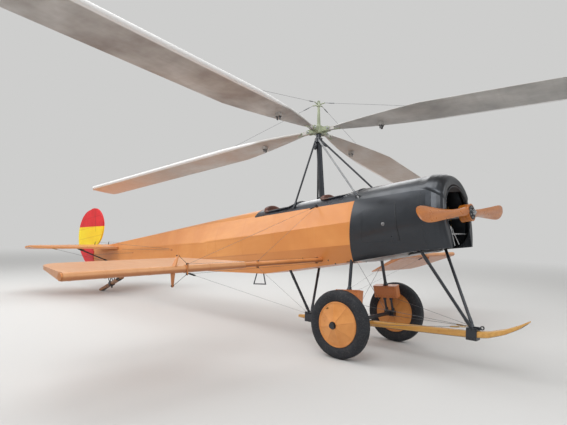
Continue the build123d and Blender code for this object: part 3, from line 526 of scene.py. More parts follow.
solids_by_finish = (
    (fuselage_cloth, "fuselage", "rear_fuselage"), (deck_enamel, "top_deck"), (cowl_enamel, "cowl"),
    (board_timber, "front_instrument_board", "rear_instrument_board"),
    (engine_steel, "crankshaft", "engine"), (propeller_timber, "propeller"), (hub_green, "rotor_hub"),
    (tube_enamel, "mast", "front_stay_left", "rear_stay_left", "rear_stay_right", "leg_left", "leg_right", "axle",
     "front_brace", "rear_brace", "step", "tail_strut_left", "tail_strut_right", "tail_skid_frame"),
    (stay_silver, "front_stay_right"), (disc_paints["left"], "wheel_left"), (disc_paints["right"], "wheel_right"),
    (rubber, "tyre_left", "tyre_right"), (boot_cloth, "spring_box_left", "spring_box_right"),
    (skid_timber, "centre_skid"), (boom_paint, "boom"), (aileron_cloth, "aileron_left", "aileron_right"),
    (tail_cloth, "tailplane", "elevator"), (band_cloth, "rudder"), (tail_skid_timber, "tail_skid"),
    *((cloth, f"blade_{index + 1}") for index, cloth in enumerate(blade_cloths)),
)
for finish, *painted_names in solids_by_finish:
    for painted_name in painted_names:
        painted = nodes[painted_name]
        if not painted.material_slots:
            painted.data.materials.append(None)
        for painted_slot in painted.material_slots:
            painted_slot.material = finish.material


# Shapes
class Shape:
    """Vertices and faces of one piece as it is put together."""

    def __init__(self):
        self.verts = []
        self.faces = []

    def rings(self, rings, closed=False):
        """Skin a row of equal rings; closed joins the last ring to the first."""
        start, count = len(self.verts), len(rings[0])
        for ring in rings:
            self.verts.extend(ring)
        spans = len(rings) if closed else len(rings) - 1
        for step in range(spans):
            near = start + step * count
            far = start + (step + 1) % len(rings) * count
            for index in range(count):
                after = (index + 1) % count
                self.faces.append((near + index, near + after, far + after, far + index))
        if not closed:
            self.faces.append(tuple(start + index for index in reversed(range(count))))
            self.faces.append(tuple(start + (len(rings) - 1) * count + index for index in range(count)))
        return self

    def tube(self, points, radius, sides=10, closed=False):
        """A round tube along points."""
        points = [Vector(point) for point in points]
        count = len(points)
        rings, across = [], None
        for index, point in enumerate(points):
            if closed:
                run = points[(index + 1) % count] - points[index - 1]
            else:
                run = points[min(index + 1, count - 1)] - points[max(index - 1, 0)]
            run.normalize()
            if across is None:
                across = run.orthogonal().normalized()
            across = (across - run * across.dot(run)).normalized()
            other = run.cross(across)
            rings.append([point + round_from(across, other, turn) * radius for turn in turns(sides)])
        return self.rings(rings, closed)

    def turned(self, origin, axis, profile, sides=24):
        """A solid turned on an axis from (radius, height) pairs."""
        axis = Vector(axis).normalized()
        across = axis.orthogonal().normalized()
        other = axis.cross(across)
        return self.rings([[
            Vector(origin) + axis * height + round_from(across, other, turn) * max(radius, 0.00005)
            for turn in turns(sides)
        ] for radius, height in profile])

    def plate(self, outline, origin, x_dir, y_dir, thickness, bevel=0.001):
        """A plate with eased edges, its outline drawn on x and y about its mid plane."""
        x_dir, y_dir = Vector(x_dir).normalized(), Vector(y_dir).normalized()
        z_dir = x_dir.cross(y_dir)
        rings = []
        for inset, level in ((bevel, -0.5), (0, -0.5), (0, 0.5), (bevel, 0.5)):
            lift = level * thickness - math.copysign(0 if inset else bevel, level)
            ring = []
            for index, (x, y) in enumerate(outline):
                before, after = Vector(outline[index - 1]), Vector(outline[(index + 1) % len(outline)])
                here = Vector((x, y))
                toward = (before - here).normalized() + (after - here).normalized()
                if toward.length > 1e-6:
                    here = here + toward.normalized() * inset
                ring.append(Vector(origin) + x_dir * here.x + y_dir * here.y + z_dir * lift)
            rings.append(ring)
        return self.rings(rings)

    def put(self, name, finish, body, slot=None, crease=38.0):
        """Make the piece, faces outwards, and let it ride on a body."""
        mesh = bpy.data.meshes.new(name)
        mesh.from_pydata([tuple(vert) for vert in self.verts], [], self.faces)
        work = bmesh.new()
        work.from_mesh(mesh)
        bmesh.ops.remove_doubles(work, verts=work.verts, dist=0.00002)
        bmesh.ops.recalc_face_normals(work, faces=work.faces)
        work.to_mesh(mesh)
        work.free()
        return settle(mesh, name, finish, body, crease)

    def put_between(self, name, finish, bodies, start, end, slot=None):
        """Make the piece on no body, its placement baked into its mesh; bodies, start and end are not used."""
        made = self.put(name, finish, None, slot)
        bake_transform(made)


def shade_smooth(mesh):
    """Smooth shading on all faces."""
    for face in mesh.polygons:
        face.use_smooth = True


def settle(mesh, name, finish, body, crease):
    """Place a finished mesh in the scene with its finish and body."""
    made = bpy.data.objects.new(name, mesh)
    bpy.context.scene.collection.objects.link(made)
    mesh.materials.clear()
    mesh.materials.append(finish.material)
    shade_smooth(mesh)
    mesh.set_sharp_from_angle(angle=math.radians(crease))
    if body:
        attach(made, body)
    return made


def round_outline(width, height, corner, parts=5):
    """Outline of a rectangle with rounded corners."""
    outline = []
    for quarter, (sx, sy) in enumerate(((1, 1), (-1, 1), (-1, -1), (1, -1))):
        for step in range(parts + 1):
            turn = math.pi / 2 * (quarter + step / parts)
            outline.append((
                sx * (width / 2 - corner) + corner * math.cos(turn),
                sy * (height / 2 - corner) + corner * math.sin(turn),
            ))
    return outline


def smooth_path(points, parts=5):
    """More points on an even curve through some points."""
    points = [Vector(point) for point in points]
    found = []
    for index in range(len(points) - 1):
        before, here = points[max(index - 1, 0)], points[index]
        after, beyond = points[index + 1], points[min(index + 2, len(points) - 1)]
        for step in range(parts):
            t = step / parts
            found.append(0.5 * (
                2 * here + (after - before) * t + (2 * before - 5 * here + 4 * after - beyond) * t * t
                + (3 * here - before - 3 * after + beyond) * t ** 3
            ))
    return found + [points[-1]]


def skin_tree(*names):
    """Search tree over the surfaces of some CAD nodes."""
    verts, faces = [], []
    for name in names:
        mesh = nodes[name].data
        first = len(verts)
        verts.extend(vert.co.copy() for vert in mesh.vertices)
        faces.extend(tuple(first + index for index in face.vertices) for face in mesh.polygons)
    return BVHTree.FromPolygons(verts, faces)


def touch(tree, origin, direction):
    """Where a straight line first meets a surface, with the surface's outward side."""
    place, normal, _, _ = tree.ray_cast(Vector(origin), Vector(direction).normalized(), 8.0)
    if place is None:
        return None, None
    return place, -normal if normal.dot(Vector(direction)) > 0 else normal


# Repeated fittings
def socket_id(tree, name):
    """Identifier of a named input of a node tree."""
    for item in tree.interface.items_tree:
        if item.item_type == "SOCKET" and item.in_out == "INPUT" and item.name == name:
            return item.identifier
    raise KeyError(name)


ball, drum = "GeometryNodeMeshUVSphere", "GeometryNodeMeshCylinder"
fitting_solids = {
    # kind: node, its sides and sizes, and its lift, for each solid
    "rivet": ((ball, (("Segments", 10), ("Rings", 6), ("Radius", 1.0)), 0),),
    "bolt": (
        (drum, (("Vertices", 6), ("Radius", 1.0), ("Depth", 1.0)), 0.62),
        (drum, (("Vertices", 10), ("Radius", 0.52), ("Depth", 0.9)), 1.35),
        (drum, (("Vertices", 16), ("Radius", 1.35), ("Depth", 0.22)), 0.10),
    ),
    "disc": ((drum, (("Vertices", 28), ("Radius", 1.0), ("Depth", 1.0)), 0),),
    "stitch": ((ball, (("Segments", 8), ("Rings", 6), ("Radius", 1.0)), 0),),
}


def fitting_tree(kind):
    """Node tree that sets one small fitting on each point, standing on its outward side."""
    tree = bpy.data.node_groups.new(f"{kind}_rows", "GeometryNodeTree")
    for label, sort in (
        ("Points", "Geometry"), ("Radius", "Float"), ("Height", "Float"), ("Size Spread", "Float"),
        ("Seed", "Int"), ("Finish", "Material"),
    ):
        tree.interface.new_socket(name=label, in_out="INPUT", socket_type=f"NodeSocket{sort}")
    tree.interface.new_socket(name="Fittings", in_out="OUTPUT", socket_type="NodeSocketGeometry")
    given = add(tree, "NodeGroupInput").outputs
    stack = add(tree, "GeometryNodeJoinGeometry")
    for solid, measures, lift in fitting_solids[kind]:
        mesh = add(tree, solid, measures).outputs["Mesh"]
        moved = add(tree, "GeometryNodeTransform", (("Translation", (0, 0, lift)), ("Geometry", mesh)))
        feed(tree, stack.inputs["Geometry"], moved.outputs["Geometry"])
    size = add(tree, "ShaderNodeCombineXYZ", (
        ("X", given["Radius"]), ("Y", given["Radius"]), ("Z", given["Height"]),
    ))
    shaped = add(tree, "GeometryNodeTransform", (
        ("Geometry", stack.outputs["Geometry"]), ("Scale", size.outputs[0]),
    ))
    outward = add(tree, "GeometryNodeInputNamedAttribute", (("Name", "outward"),), data_type="FLOAT_VECTOR")
    aligned = add(
        tree, "FunctionNodeAlignRotationToVector", (("Vector", outward.outputs["Attribute"]),), axis="Z",
    )
    smallest = add(tree, "ShaderNodeMath", ((0, 1.0), (1, given["Size Spread"])), operation="SUBTRACT")
    grown = add(
        tree, "FunctionNodeRandomValue", ((2, smallest.outputs[0]), (3, 1.0), ("Seed", given["Seed"])),
        data_type="FLOAT",
    )
    placed = add(tree, "GeometryNodeInstanceOnPoints", (
        ("Points", given["Points"]), ("Instance", shaped.outputs["Geometry"]),
        ("Rotation", aligned.outputs["Rotation"]), ("Scale", grown.outputs[1]),
    ))
    plain = add(tree, "GeometryNodeRealizeInstances", (("Geometry", placed.outputs["Instances"]),))
    smooth = add(tree, "GeometryNodeSetShadeSmooth", (("Geometry", plain.outputs["Geometry"]),))
    finished = add(tree, "GeometryNodeSetMaterial", (
        ("Geometry", smooth.outputs["Geometry"]), ("Material", given["Finish"]),
    ))
    add(tree, "NodeGroupOutput", (("Fittings", finished.outputs["Geometry"]),))
    return tree


fitting_trees = {kind: fitting_tree(kind) for kind in fitting_solids}


def fit_rows(name, kind, places, finish, body, radius, height, size_spread=0.0):
    """Set one fitting at each (place, outward) pair and keep them as one plain mesh."""
    mesh = bpy.data.meshes.new(f"{name}_points")
    mesh.from_pydata([tuple(place) for place, _ in places], [], [])
    outward = mesh.attributes.new("outward", "FLOAT_VECTOR", "POINT")
    for index, (_, direction) in enumerate(places):
        outward.data[index].vector = direction
    holder = bpy.data.objects.new(f"{name}_points", mesh)
    bpy.context.scene.collection.objects.link(holder)
    modifier = holder.modifiers.new("rows", "NODES")
    tree = modifier.node_group = fitting_trees[kind]
    for label, value in (
        ("Radius", radius), ("Height", height), ("Size Spread", size_spread), ("Seed", 7),
        ("Finish", finish.material),
    ):
        modifier[socket_id(tree, label)] = value
    plain = bpy.data.meshes.new_from_object(holder.evaluated_get(bpy.context.evaluated_depsgraph_get()))
    plain.name = name
    holder.modifiers.remove(modifier)
    bpy.data.objects.remove(holder)
    return settle(plain, name, finish, body, 30.0)


# Padded leather
def puff(made, pressure, most, voxel=0.0055, frames=18):
    """Swell a stuffed piece like cloth under light pressure, no point moving further than most."""
    bpy.context.view_layer.objects.active = made
    remesh = made.modifiers.new("even_mesh", "REMESH")
    remesh.mode = "VOXEL"
    remesh.voxel_size = voxel
    even = bpy.data.meshes.new_from_object(made.evaluated_get(bpy.context.evaluated_depsgraph_get()))
    made.modifiers.remove(remesh)
    even.materials.clear()
    even.materials.append(made.data.materials[0])
    made.data = even
    start = [vert.co.copy() for vert in even.vertices]
    cloth = made.modifiers.new("swell", "CLOTH")
    cloth.settings.use_pressure = True
    cloth.settings.uniform_pressure_force = pressure
    cloth.settings.effector_weights.gravity = 0
    cloth.settings.quality = 5
    cloth.settings.tension_stiffness = 20
    cloth.settings.compression_stiffness = 20
    cloth.settings.bending_stiffness = 1.5
    cloth.point_cache.frame_start = 1
    cloth.point_cache.frame_end = frames
    scene = bpy.context.scene
    for number in range(1, frames + 1):
        scene.frame_set(number)
    swollen = made.evaluated_get(bpy.context.evaluated_depsgraph_get())
    ends = [vert.co.copy() for vert in swollen.data.vertices]
    made.modifiers.remove(cloth)
    scene.frame_set(1)
    for vert, first, last in zip(even.vertices, start, ends):
        step = last - first
        if step.length > most:
            step = step.normalized() * most
        vert.co = first + step
    shade_smooth(even)
    even.update()


def smooth_pad(made, rounds=1):
    """Subdivision over a pad, applied."""
    modifier = made.modifiers.new("soft", "SUBSURF")
    modifier.levels = modifier.render_levels = rounds
    rounded = bpy.data.meshes.new_from_object(made.evaluated_get(bpy.context.evaluated_depsgraph_get()))
    made.modifiers.remove(modifier)
    made.data = rounded
    shade_smooth(rounded)


deck_sections = (
    # station, edge height, half width, crown rise
    (0.0, 0.690, 0.340, 0.168),
    (-0.7, 0.719, 0.297, 0.140),
    (-1.665, 0.758, 0.240, 0.112),
)
cockpits = (
    # name, middle, length, crown of the deck, height of the roll
    ("front", -0.255, 0.560, 0.858, 0.038),
    ("rear", -1.250, 0.560, 0.866, 0.045),
)
cockpit_half = 0.215
rim_corner = 0.120
roll_arch_half = 0.260
roll_arch_drop = 0.133
side_roll = 0.022
front_slim = 0.60
roll_section = (
    # reach outwards, height over the deck, or height under the top of the roll
    (0.021, 0.001, None), (0.0225, 0.006, None), (0.0225, None, 0.012), (0.018, None, 0.004),
    (0.010, None, 0.001), (0.0, None, 0.0), (-0.010, None, 0.001), (-0.018, None, 0.004),
    (-0.0225, None, 0.012), (-0.0225, -0.052, None), (-0.018, -0.060, None), (-0.006, -0.060, None),
    (-0.0035, -0.052, None), (-0.0035, -0.006, None), (0.002, 0.001, None),
)
lacing_reach = 0.0262
cockpit_floor = 0.240


def arc_radius(half, rise):
    """Radius of an arc from half its width and its rise."""
    return (half * half + rise * rise) / (2 * rise)


def eased(share):
    """0 to 1 with soft ends."""
    share = min(max(share, 0.0), 1.0)
    return share * share * (3 - 2 * share)


def deck_height(station, side):
    """Height of the deck's skin over the datum."""
    station = min(0.0, max(deck_sections[-1][0], station))
    fore, aft = deck_sections[:2] if station >= deck_sections[1][0] else deck_sections[1:]
    share = (station - fore[0]) / (aft[0] - fore[0])
    edge, half, rise = (fore[k] + (aft[k] - fore[k]) * share for k in (1, 2, 3))
    radius = arc_radius(half, rise)
    return edge + rise - radius + math.sqrt(max(radius * radius - side * side, 0.0))


def roll_height(crown, roll, side, deck):
    """Height of the top of a padded roll: an arch over the ends, low along the sides."""
    radius = arc_radius(roll_arch_half, roll_arch_drop)
    arch = crown + roll - radius + math.sqrt(radius * radius - side * side)
    return arch + (min(arch, deck + side_roll) - arch) * eased((abs(side) - 0.165) / 0.045)


def rim_path(middle, length, count):
    """Points and outward directions round a cockpit's rim, a rectangle with round corners."""
    runs = (length - 2 * rim_corner, 2 * (cockpit_half - rim_corner))
    bend = math.pi / 2 * rim_corner
    corners = ((1, -1), (1, 1), (-1, 1), (-1, -1))
    found = []
    for index in range(count):
        left = 2 * (sum(runs) + 2 * bend) * index / count
        for quarter in range(4):
            straight = runs[quarter % 2]
            if left < straight + bend or quarter == 3:
                share = min(left / straight, 1.0)
                turn = math.pi / 2 * (quarter - 1) + max(left - straight, 0.0) / rim_corner
                here, before = corners[quarter], corners[quarter - 1]
                x, y = ((before[k] + (here[k] - before[k]) * share) * runs[k] / 2 for k in (0, 1))
                out_x, out_y = math.cos(turn), math.sin(turn)
                found.append((middle + x + rim_corner * out_x, y + rim_corner * out_y, out_x, out_y))
                break
            left -= straight + bend
    return found


def coaming_roll(name, middle, length, crown, roll):
    """Stuffed leather roll over the rim of one cockpit, laced on its outer side."""
    rings, bead, lacing = [], [], []
    roll_points, lacing_points = 150, 66
    for station, side, out_x, out_y in rim_path(middle, length, roll_points):
        deck = deck_height(station, side)
        slim = 1 - front_slim * eased((station - middle) / (length / 2))
        top = roll_height(crown, roll * slim, side, deck)
        rings.append([
            at(station + out_x * reach, side + out_y * reach, top - under if over is None else deck + over)
            for reach, over, under in roll_section
        ])
        bead.append(at(station + out_x * lacing_reach, side + out_y * lacing_reach, deck + 0.0042))
    made = Shape().rings(rings, closed=True).put(
        f"{name}_coaming_roll", coaming_hide, "airframe", "coaming_leather", 180,
    )
    puff(made, 3.0, 0.005)
    smooth_pad(made)
    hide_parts(f"{name}_coaming")
    for station, side, out_x, out_y in rim_path(middle, length, lacing_points):
        height = deck_height(station, side) + 0.009
        place = at(station + out_x * lacing_reach, side + out_y * lacing_reach, height)
        lacing.append((place, upright + along * 0.35))
    fit_rows(
        f"{name}_coaming_lacing", "stitch", lacing, strap_web, "airframe", 0.0016, 0.0085,
    )
    Shape().tube(bead, 0.0038, 8, closed=True).put(
        f"{name}_coaming_piping", coaming_hide, "airframe", "coaming_leather", 180,
    )


def cushion(name, centre, x_dir, y_dir, size, corner, seams):
    """Stuffed leather cushion: crowned, pulled in along its sewn channels."""
    z_dir = x_dir.cross(y_dir)
    width, height, depth = size
    rings = []
    for share, inset in (
        (-0.5, 0.030), (-0.42, 0.010), (-0.25, 0.002), (0.0, 0.0), (0.25, 0.002), (0.42, 0.010), (0.5, 0.030),
    ):
        outline = round_outline(width - 2 * inset, height - 2 * inset, max(corner - inset, 0.012), 6)
        rings.append([centre + x_dir * x + y_dir * y + z_dir * (share * depth) for x, y in outline])
    made = Shape().rings(rings).put(name, seat_hide, "airframe", "seat_leather", 180)
    puff(made, 4.0, 0.008, 0.006)
    for vert in made.data.vertices:
        local = vert.co - centre
        if local.dot(z_dir) > 0:
            crease = min(abs(local.dot(x_dir) - seam) for seam in seams)
            vert.co -= z_dir * (0.007 * math.exp(-(crease / 0.007) ** 2))
    smooth_pad(made)
    return made


def lap_strap(rear, sign):
    """Rings of one lap strap over the cushion."""
    strap = []
    for run in steps(0, 1, 9):
        rise = 0.134 + 0.006 * math.sin(math.pi * run) - 0.055 * (1 - run) ** 3
        strap.append(at(rear + 0.045 + 0.10 * run, sign * (0.165 - 0.125 * run), cockpit_floor + rise))
    rings = []
    for index, point in enumerate(strap):
        run = (strap[min(index + 1, 8)] - strap[max(index - 1, 0)]).normalized()
        across = run.cross(upright).normalized()
        lift = across.cross(run).normalized()
        rings.append([
            point + across * a + lift * b
            for a, b in ((-0.021, 0), (0.021, 0), (0.021, 0.0024), (-0.021, 0.0024))
        ])
    return rings


def cockpit_seat(name, middle, length):
    """Leather seat of one cockpit: base, cushion, back pad and lap straps."""
    rear = middle - length / 2 + 0.100
    centre = at(rear + 0.130, 0, cockpit_floor)
    base = Shape()
    base.plate(round_outline(0.250, 0.340, 0.05), centre + upright * 0.020, along, leftward, 0.038, 0.004)
    base.plate(round_outline(0.236, 0.326, 0.045), centre + upright * 0.046, along, leftward, 0.016, 0.003)
    base.put(f"{name}_seat_base", board_timber, "airframe", "board_wood")
    pad = cushion(
        f"{name}_seat_cushion", centre + upright * 0.088, along, leftward, (0.240, 0.332, 0.066), 0.05,
        (-0.06, 0.0, 0.06),
    )
    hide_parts(f"{name}_seat")
    cushion(
        f"{name}_seat_back", at(rear + 0.014, 0, cockpit_floor + 0.245), leftward, upright,
        (0.256, 0.216, 0.020), 0.045, (-0.078, -0.026, 0.026, 0.078),
    )
    straps = Shape()
    for sign, _ in both_sides:
        straps.rings(lap_strap(rear, sign))
    straps.put(f"{name}_lap_straps", strap_web, "airframe", "seat_leather")
    buckle = at(rear + 0.146, 0.030, cockpit_floor + 0.1385)
    corners = [(-0.016, -0.027), (0.016, -0.027), (0.016, 0.027), (-0.016, 0.027)]
    loop = []
    for (x, y), (next_x, next_y) in zip(corners, corners[1:] + corners[:1]):
        for share in (0.08, 0.5, 0.92):
            loop.append(buckle + along * (x + (next_x - x) * share) + leftward * (y + (next_y - y) * share))
    Shape().tube(loop, 0.0022, 8, closed=True).put(f"{name}_strap_buckle", brass, "airframe")


dials = (
    # side, height, radius
    (-0.074, 0.600, 0.034), (0.0, 0.602, 0.038), (0.074, 0.600, 0.034), (-0.045, 0.530, 0.024),
    (0.045, 0.530, 0.024),
)
grip_profile = (
    (0.013, -0.004), (0.018, 0.0), (0.0175, 0.02), (0.0155, 0.045), (0.0175, 0.075), (0.0165, 0.094),
    (0.010, 0.102), (0.0, 0.104),
)


def dial_mark(marks, centre, turn, low, high, foot_half, tip_half, lift, thickness):
    """A hand or a tick of a dial, pointing outwards at an angle."""
    out = round_from(upright, leftward, turn)
    outline = [(-foot_half, low), (foot_half, low), (tip_half, high), (-tip_half, high)]
    marks.plate(outline, centre - along * lift, out.cross(along), out, thickness, 0.0001)


def cockpit_fittings(name, middle, length):
    """Dials on the instrument board, control stick and rudder bar of one cockpit."""
    face = middle + length / 2 - 0.060
    bezels, faces, marks = Shape(), Shape(), Shape()
    for side, height, radius in dials:
        centre = at(face, side, height)
        bezels.turned(centre, -along, (
            (radius, -0.001), (radius, 0.007), (radius * 0.94, 0.010), (radius * 0.84, 0.010),
            (radius * 0.80, 0.004), (0.0, 0.004),
        ), 36)
        faces.turned(centre, -along, ((radius * 0.79, 0.002), (radius * 0.79, 0.0052), (0.0, 0.0052)), 30)
        dial_mark(marks, centre, 0.7 + side * 9, -radius * 0.2, radius * 0.62, 0.0012, 0.0006, 0.0062, 0.0006)
        for turn in turns(12):
            dial_mark(marks, centre, turn, radius * 0.62, radius * 0.74, 0.0006, 0.0006, 0.0056, 0.0004)
    bezels.put(f"{name}_dial_bezels", brass, "airframe")
    faces.put(f"{name}_dial_faces", dial_black, "airframe")
    marks.put(f"{name}_dial_hands", dial_white, "airframe")
    foot = at(middle + 0.115, 0, cockpit_floor)
    grip = foot + upright * 0.40 - along * 0.040
    stick = Shape().tube([foot, foot + upright * 0.20 - along * 0.006, grip], 0.0125, 14)
    stick.turned(foot, upright, ((0.036, 0.0), (0.036, 0.012), (0.024, 0.034), (0.016, 0.040)), 20)
    stick.put(f"{name}_control_stick", tube_enamel, "airframe")
    handle = Shape().turned(grip, upright - along * 0.17, grip_profile, 20)
    handle.put(f"{name}_stick_grip", grip_wood, "airframe")
    pivot = at(middle + 0.195, 0, cockpit_floor + 0.045)
    bar = Shape().tube([pivot + leftward * 0.150, pivot - leftward * 0.150], 0.014, 14)
    pedestal = ((0.030, 0.0), (0.030, 0.014), (0.017, 0.020), (0.017, 0.060))
    bar.turned(pivot - upright * 0.044, upright, pedestal, 18)
    bar.put(f"{name}_rudder_bar", tube_enamel, "airframe")


for cockpit, rim_middle, rim_length, deck_crown, roll_rise in cockpits:
    coaming_roll(cockpit, rim_middle, rim_length, deck_crown, roll_rise)
    cockpit_seat(cockpit, rim_middle, rim_length)
    cockpit_fittings(cockpit, rim_middle, rim_length)


# Nose
cowl_skin = skin_tree("cowl")
fuselage_skin = skin_tree("fuselage", "rear_fuselage", "top_deck")


def level_ray(station, height, sign):
    """Start and direction of a level line towards one flank."""
    return at(station, sign * 1.2, height), (0, -sign, 0)


def side_touch(tree, station, height, sign):
    """Where a level line from the side meets a skin."""
    return touch(tree, *level_ray(station, height, sign))


def ribbon(name, tree, places, width, proud, finish, slot):
    """A thin strip laid on a flank along (station, height, side) places, standing a little proud."""
    found = [side_touch(tree, *place) for place in places]
    found = [pair for pair in found if pair[0] is not None]
    rings = []
    for index, (place, normal) in enumerate(found):
        run = found[min(index + 1, len(found) - 1)][0] - found[max(index - 1, 0)][0]
        across = normal.cross(run).normalized()
        rings.append([
            place + across * (reach * width / 2) + normal * lift
            for reach, lift in ((-1, -0.0006), (1, -0.0006), (0.8, proud), (-0.8, proud))
        ])
    Shape().rings(rings).put(name, finish, "airframe", slot, 60)


def hood_bulge():
    """Raised hood over the top of the nose, its sides swept down to the intake."""
    rings = []
    for share in steps(0, 1, 41):
        sweep, reach = math.radians(130 - 119 * share), math.radians(49 + 17 * share)
        outer, under = [], []
        for across in steps(-1, 1, 61):
            out = round_from(upright, leftward, reach * across)
            ray = round_from(along, out, sweep)
            place, normal = touch(cowl_skin, at(1.0, 0, shaft_height) + out * 0.30 + ray * 0.45, -ray)
            edge = eased((1 - abs(across)) / 0.07)
            lift = 0.013 * eased(share / 0.26) * edge * (0.3 + 0.7 * eased((1 - share) / 0.22))
            outer.append(place + normal * (lift - 0.0008 * (1 - edge)))
            under.append(place - normal * 0.0016)
        rings.append(outer + under[::-1])
    Shape().rings(rings).put("hood_bulge", cowl_enamel, "airframe", "cowl_black", 50)


def intake_rim():
    """Rolled bead round the open mouth of the cowl."""
    mouth, bead_side, bead_radius, shoulder = 1.1295, 0.2465, 0.302, shaft_height - 0.180
    start = math.atan2(0.245, -0.173)
    path = [at(mouth, bead_side, height) for height in steps(0.045, shoulder, 8)]
    path += [
        at(mouth, bead_radius * math.sin(turn), shaft_height + bead_radius * math.cos(turn))
        for turn in steps(start, -start, 60)
    ]
    path += [at(mouth, -bead_side, height) for height in steps(shoulder, 0.045, 8)]
    Shape().tube(path, 0.0062, 12).put("intake_rim_bead", cowl_enamel, "airframe", "cowl_black", 60)


panel_corners = ((0.204, 0.549), (0.623, 0.583), (0.629, 0.161), (0.165, 0.191))
catch_profile = (
    (0.020, -0.001), (0.020, 0.003), (0.015, 0.005), (0.009, 0.006), (0.008, 0.014), (0.011, 0.017),
    (0.011, 0.022), (0.007, 0.024), (0, 0.024),
)


def side_panels():
    """Hinged access panels, seams, screws and a fastening boss on both flanks of the cowl."""
    screws, catches = [], Shape()
    for sign, side in both_sides:
        for index, (station, height) in enumerate(panel_corners):
            run, rise = (panel_corners[(index + 1) % 4][k] - panel_corners[index][k] for k in (0, 1))
            edge = [(station + run * share, height + rise * share, sign) for share in steps(0, 1, 22)]
            if index == 1:
                hinge = [side_touch(cowl_skin, *place) for place in edge]
                hinge = Shape().tube([place + normal * 0.0016 for place, normal in hinge], 0.0034, 8)
                hinge.put(f"panel_hinge_{side}", dark_steel, "airframe", "cowl_black")
            else:
                name = f"panel_edge_{side}_{index}"
                ribbon(name, cowl_skin, edge, 0.010, 0.0012, cowl_enamel, "cowl_black")
            inward = (-0.014, 0, 0.014, 0)[index]
            for share in steps(0.05, 0.95, 7):
                screws.append(side_touch(cowl_skin, station + run * share, height + rise * share + inward, sign))
        seam = [(station, 0.209 + 0.035 * (station - 0.93), sign) for station in steps(0.90, 1.10, 12)]
        ribbon(f"nose_seam_{side}", cowl_skin, seam, 0.007, 0.0010, cowl_enamel, "cowl_black")
        seam = [(0.905, height, sign) for height in steps(0.68, 0.06, 40)]
        ribbon(f"nose_ring_seam_{side}", cowl_skin, seam, 0.006, 0.0008, cowl_enamel, "cowl_black")
        rows = [(0.918, height) for height in steps(0.66, 0.08, 26)]
        rows += [(0.012 + math.tan(nose_up) * height, height) for height in steps(0.10, 0.70, 13)]
        rows += [(station, 0.052) for station in steps(0.06, 0.88, 15)]
        screws += [side_touch(cowl_skin, station, height, sign) for station, height in rows]
        catches.turned(*side_touch(cowl_skin, 0.467, 0.365, sign), catch_profile, 24)
    fit_rows("cowl_screws", "rivet", screws, dark_steel, "airframe", 0.0042, 0.0020, 0.06)
    catches.put("panel_catches", engine_steel, "airframe")


def underpan():
    """Alloy pan under the cowl, with the drain pipe on the right."""
    rings, half_width, sagging = [], 0.346, 0.020
    for station in steps(0.060, 0.770, 20):
        floor = -0.003 + 0.045 * station / 0.8
        rings.append([
            at(station, half_width * share, floor - skin - sagging * (1 - share ** 4))
            for skin, shares in ((0.003, steps(-1, 1, 15)), (0.001, steps(1, -1, 15))) for share in shares
        ])
    Shape().rings(rings).put("underpan", pan_metal, "airframe", None, 40)
    pipe = (
        (0.66, -0.300, 0.010), (0.70, -0.318, 0.018), (0.78, -0.326, 0.022), (0.90, -0.330, 0.029),
        (1.00, -0.328, 0.034), (1.035, -0.318, 0.040), (1.05, -0.300, 0.052),
    )
    pipe = Shape().tube(smooth_path([at(*place) for place in pipe]), 0.0095, 14)
    pipe.put("drain_pipe", dark_steel, "airframe")


plug_profile = (
    (0.009, 0.018), (0.009, 0.038), (0.006, 0.042), (0.006, 0.064), (0.003, 0.066), (0.003, 0.074), (0, 0.075),
)
pipe_bend = (
    # behind the cylinder's axis, outwards and round the engine
    (0.030, 0.110, 0.030), (0.040, 0.150, 0.062), (0.040, 0.230, 0.066), (0.034, 0.296, 0.050),
    (0.030, 0.312, 0.026),
)


def engine_dressing():
    """Thin cooling fins, rocker gear, induction pipes, plugs and case bolts of the rotary engine."""
    fins, nuts, plugs, rods, pipes = [], [], Shape(), Shape(), Shape()
    thick_fins = [0.118 + 0.052 + 0.038 * fin + 0.0045 for fin in range(4)]
    for turn in turns(9):
        radial = round_from(upright, leftward, turn)
        tangent = radial.cross(along)
        centre = at(engine_station, 0, shaft_height)

        def place(fore, out, around):
            """A place at this cylinder."""
            return centre + along * fore + radial * out + tangent * around

        for level in steps(0.128, 0.286, 20):
            if min(abs(level - fin) for fin in thick_fins) > 0.008:
                fins.append((centre + radial * level, radial))
        for sign, _ in both_sides:
            plugs.turned(place(0.015, 0.300, 0.015 * sign), tangent * sign + along * 0.25, plug_profile, 10)
            rods.tube([place(0.062, 0.100, 0.016 * sign), place(0.052, 0.322, 0.030 * sign)], 0.0042, 8)
        rods.tube([place(0.050, 0.326, -0.036), place(0.042, 0.332, 0), place(0.050, 0.326, 0.036)], 0.0060, 8)
        pipes.tube(smooth_path([place(-back, out, around) for back, out, around in pipe_bend]), 0.0115, 12)
        for angle in (turn, turn + math.pi / 9):
            nuts.append((centre + along * 0.065 + round_from(upright, leftward, angle) * 0.104, along))
    fit_rows("cylinder_fins", "disc", fins, engine_steel, "propeller", 0.0575, 0.0026)
    rods.put("valve_gear", bright_steel, "propeller", "engine_steel")
    pipes.put("induction_pipes", brass, "propeller")
    plugs.put("spark_plugs", brass, "propeller")
    fit_rows("crankcase_bolts", "bolt", nuts, bright_steel, "propeller", 0.0065, 0.007)


def intake_bars():
    """Steel bearer bar and stays across the lower part of the open mouth."""
    bars = Shape().tube([at(1.085, -0.247, 0.184), at(1.085, 0.247, 0.184)], 0.0075, 12)
    for side, foot in ((-0.235, 0.060), (-0.150, 0.056), (-0.060, 0.060), (0.052, 0.072)):
        bars.tube([at(1.070, -0.093 + side * 0.12, 0.262), at(1.075, side, foot)], 0.0045, 8)
    bars.put("intake_bearer_bars", bright_steel, "airframe")


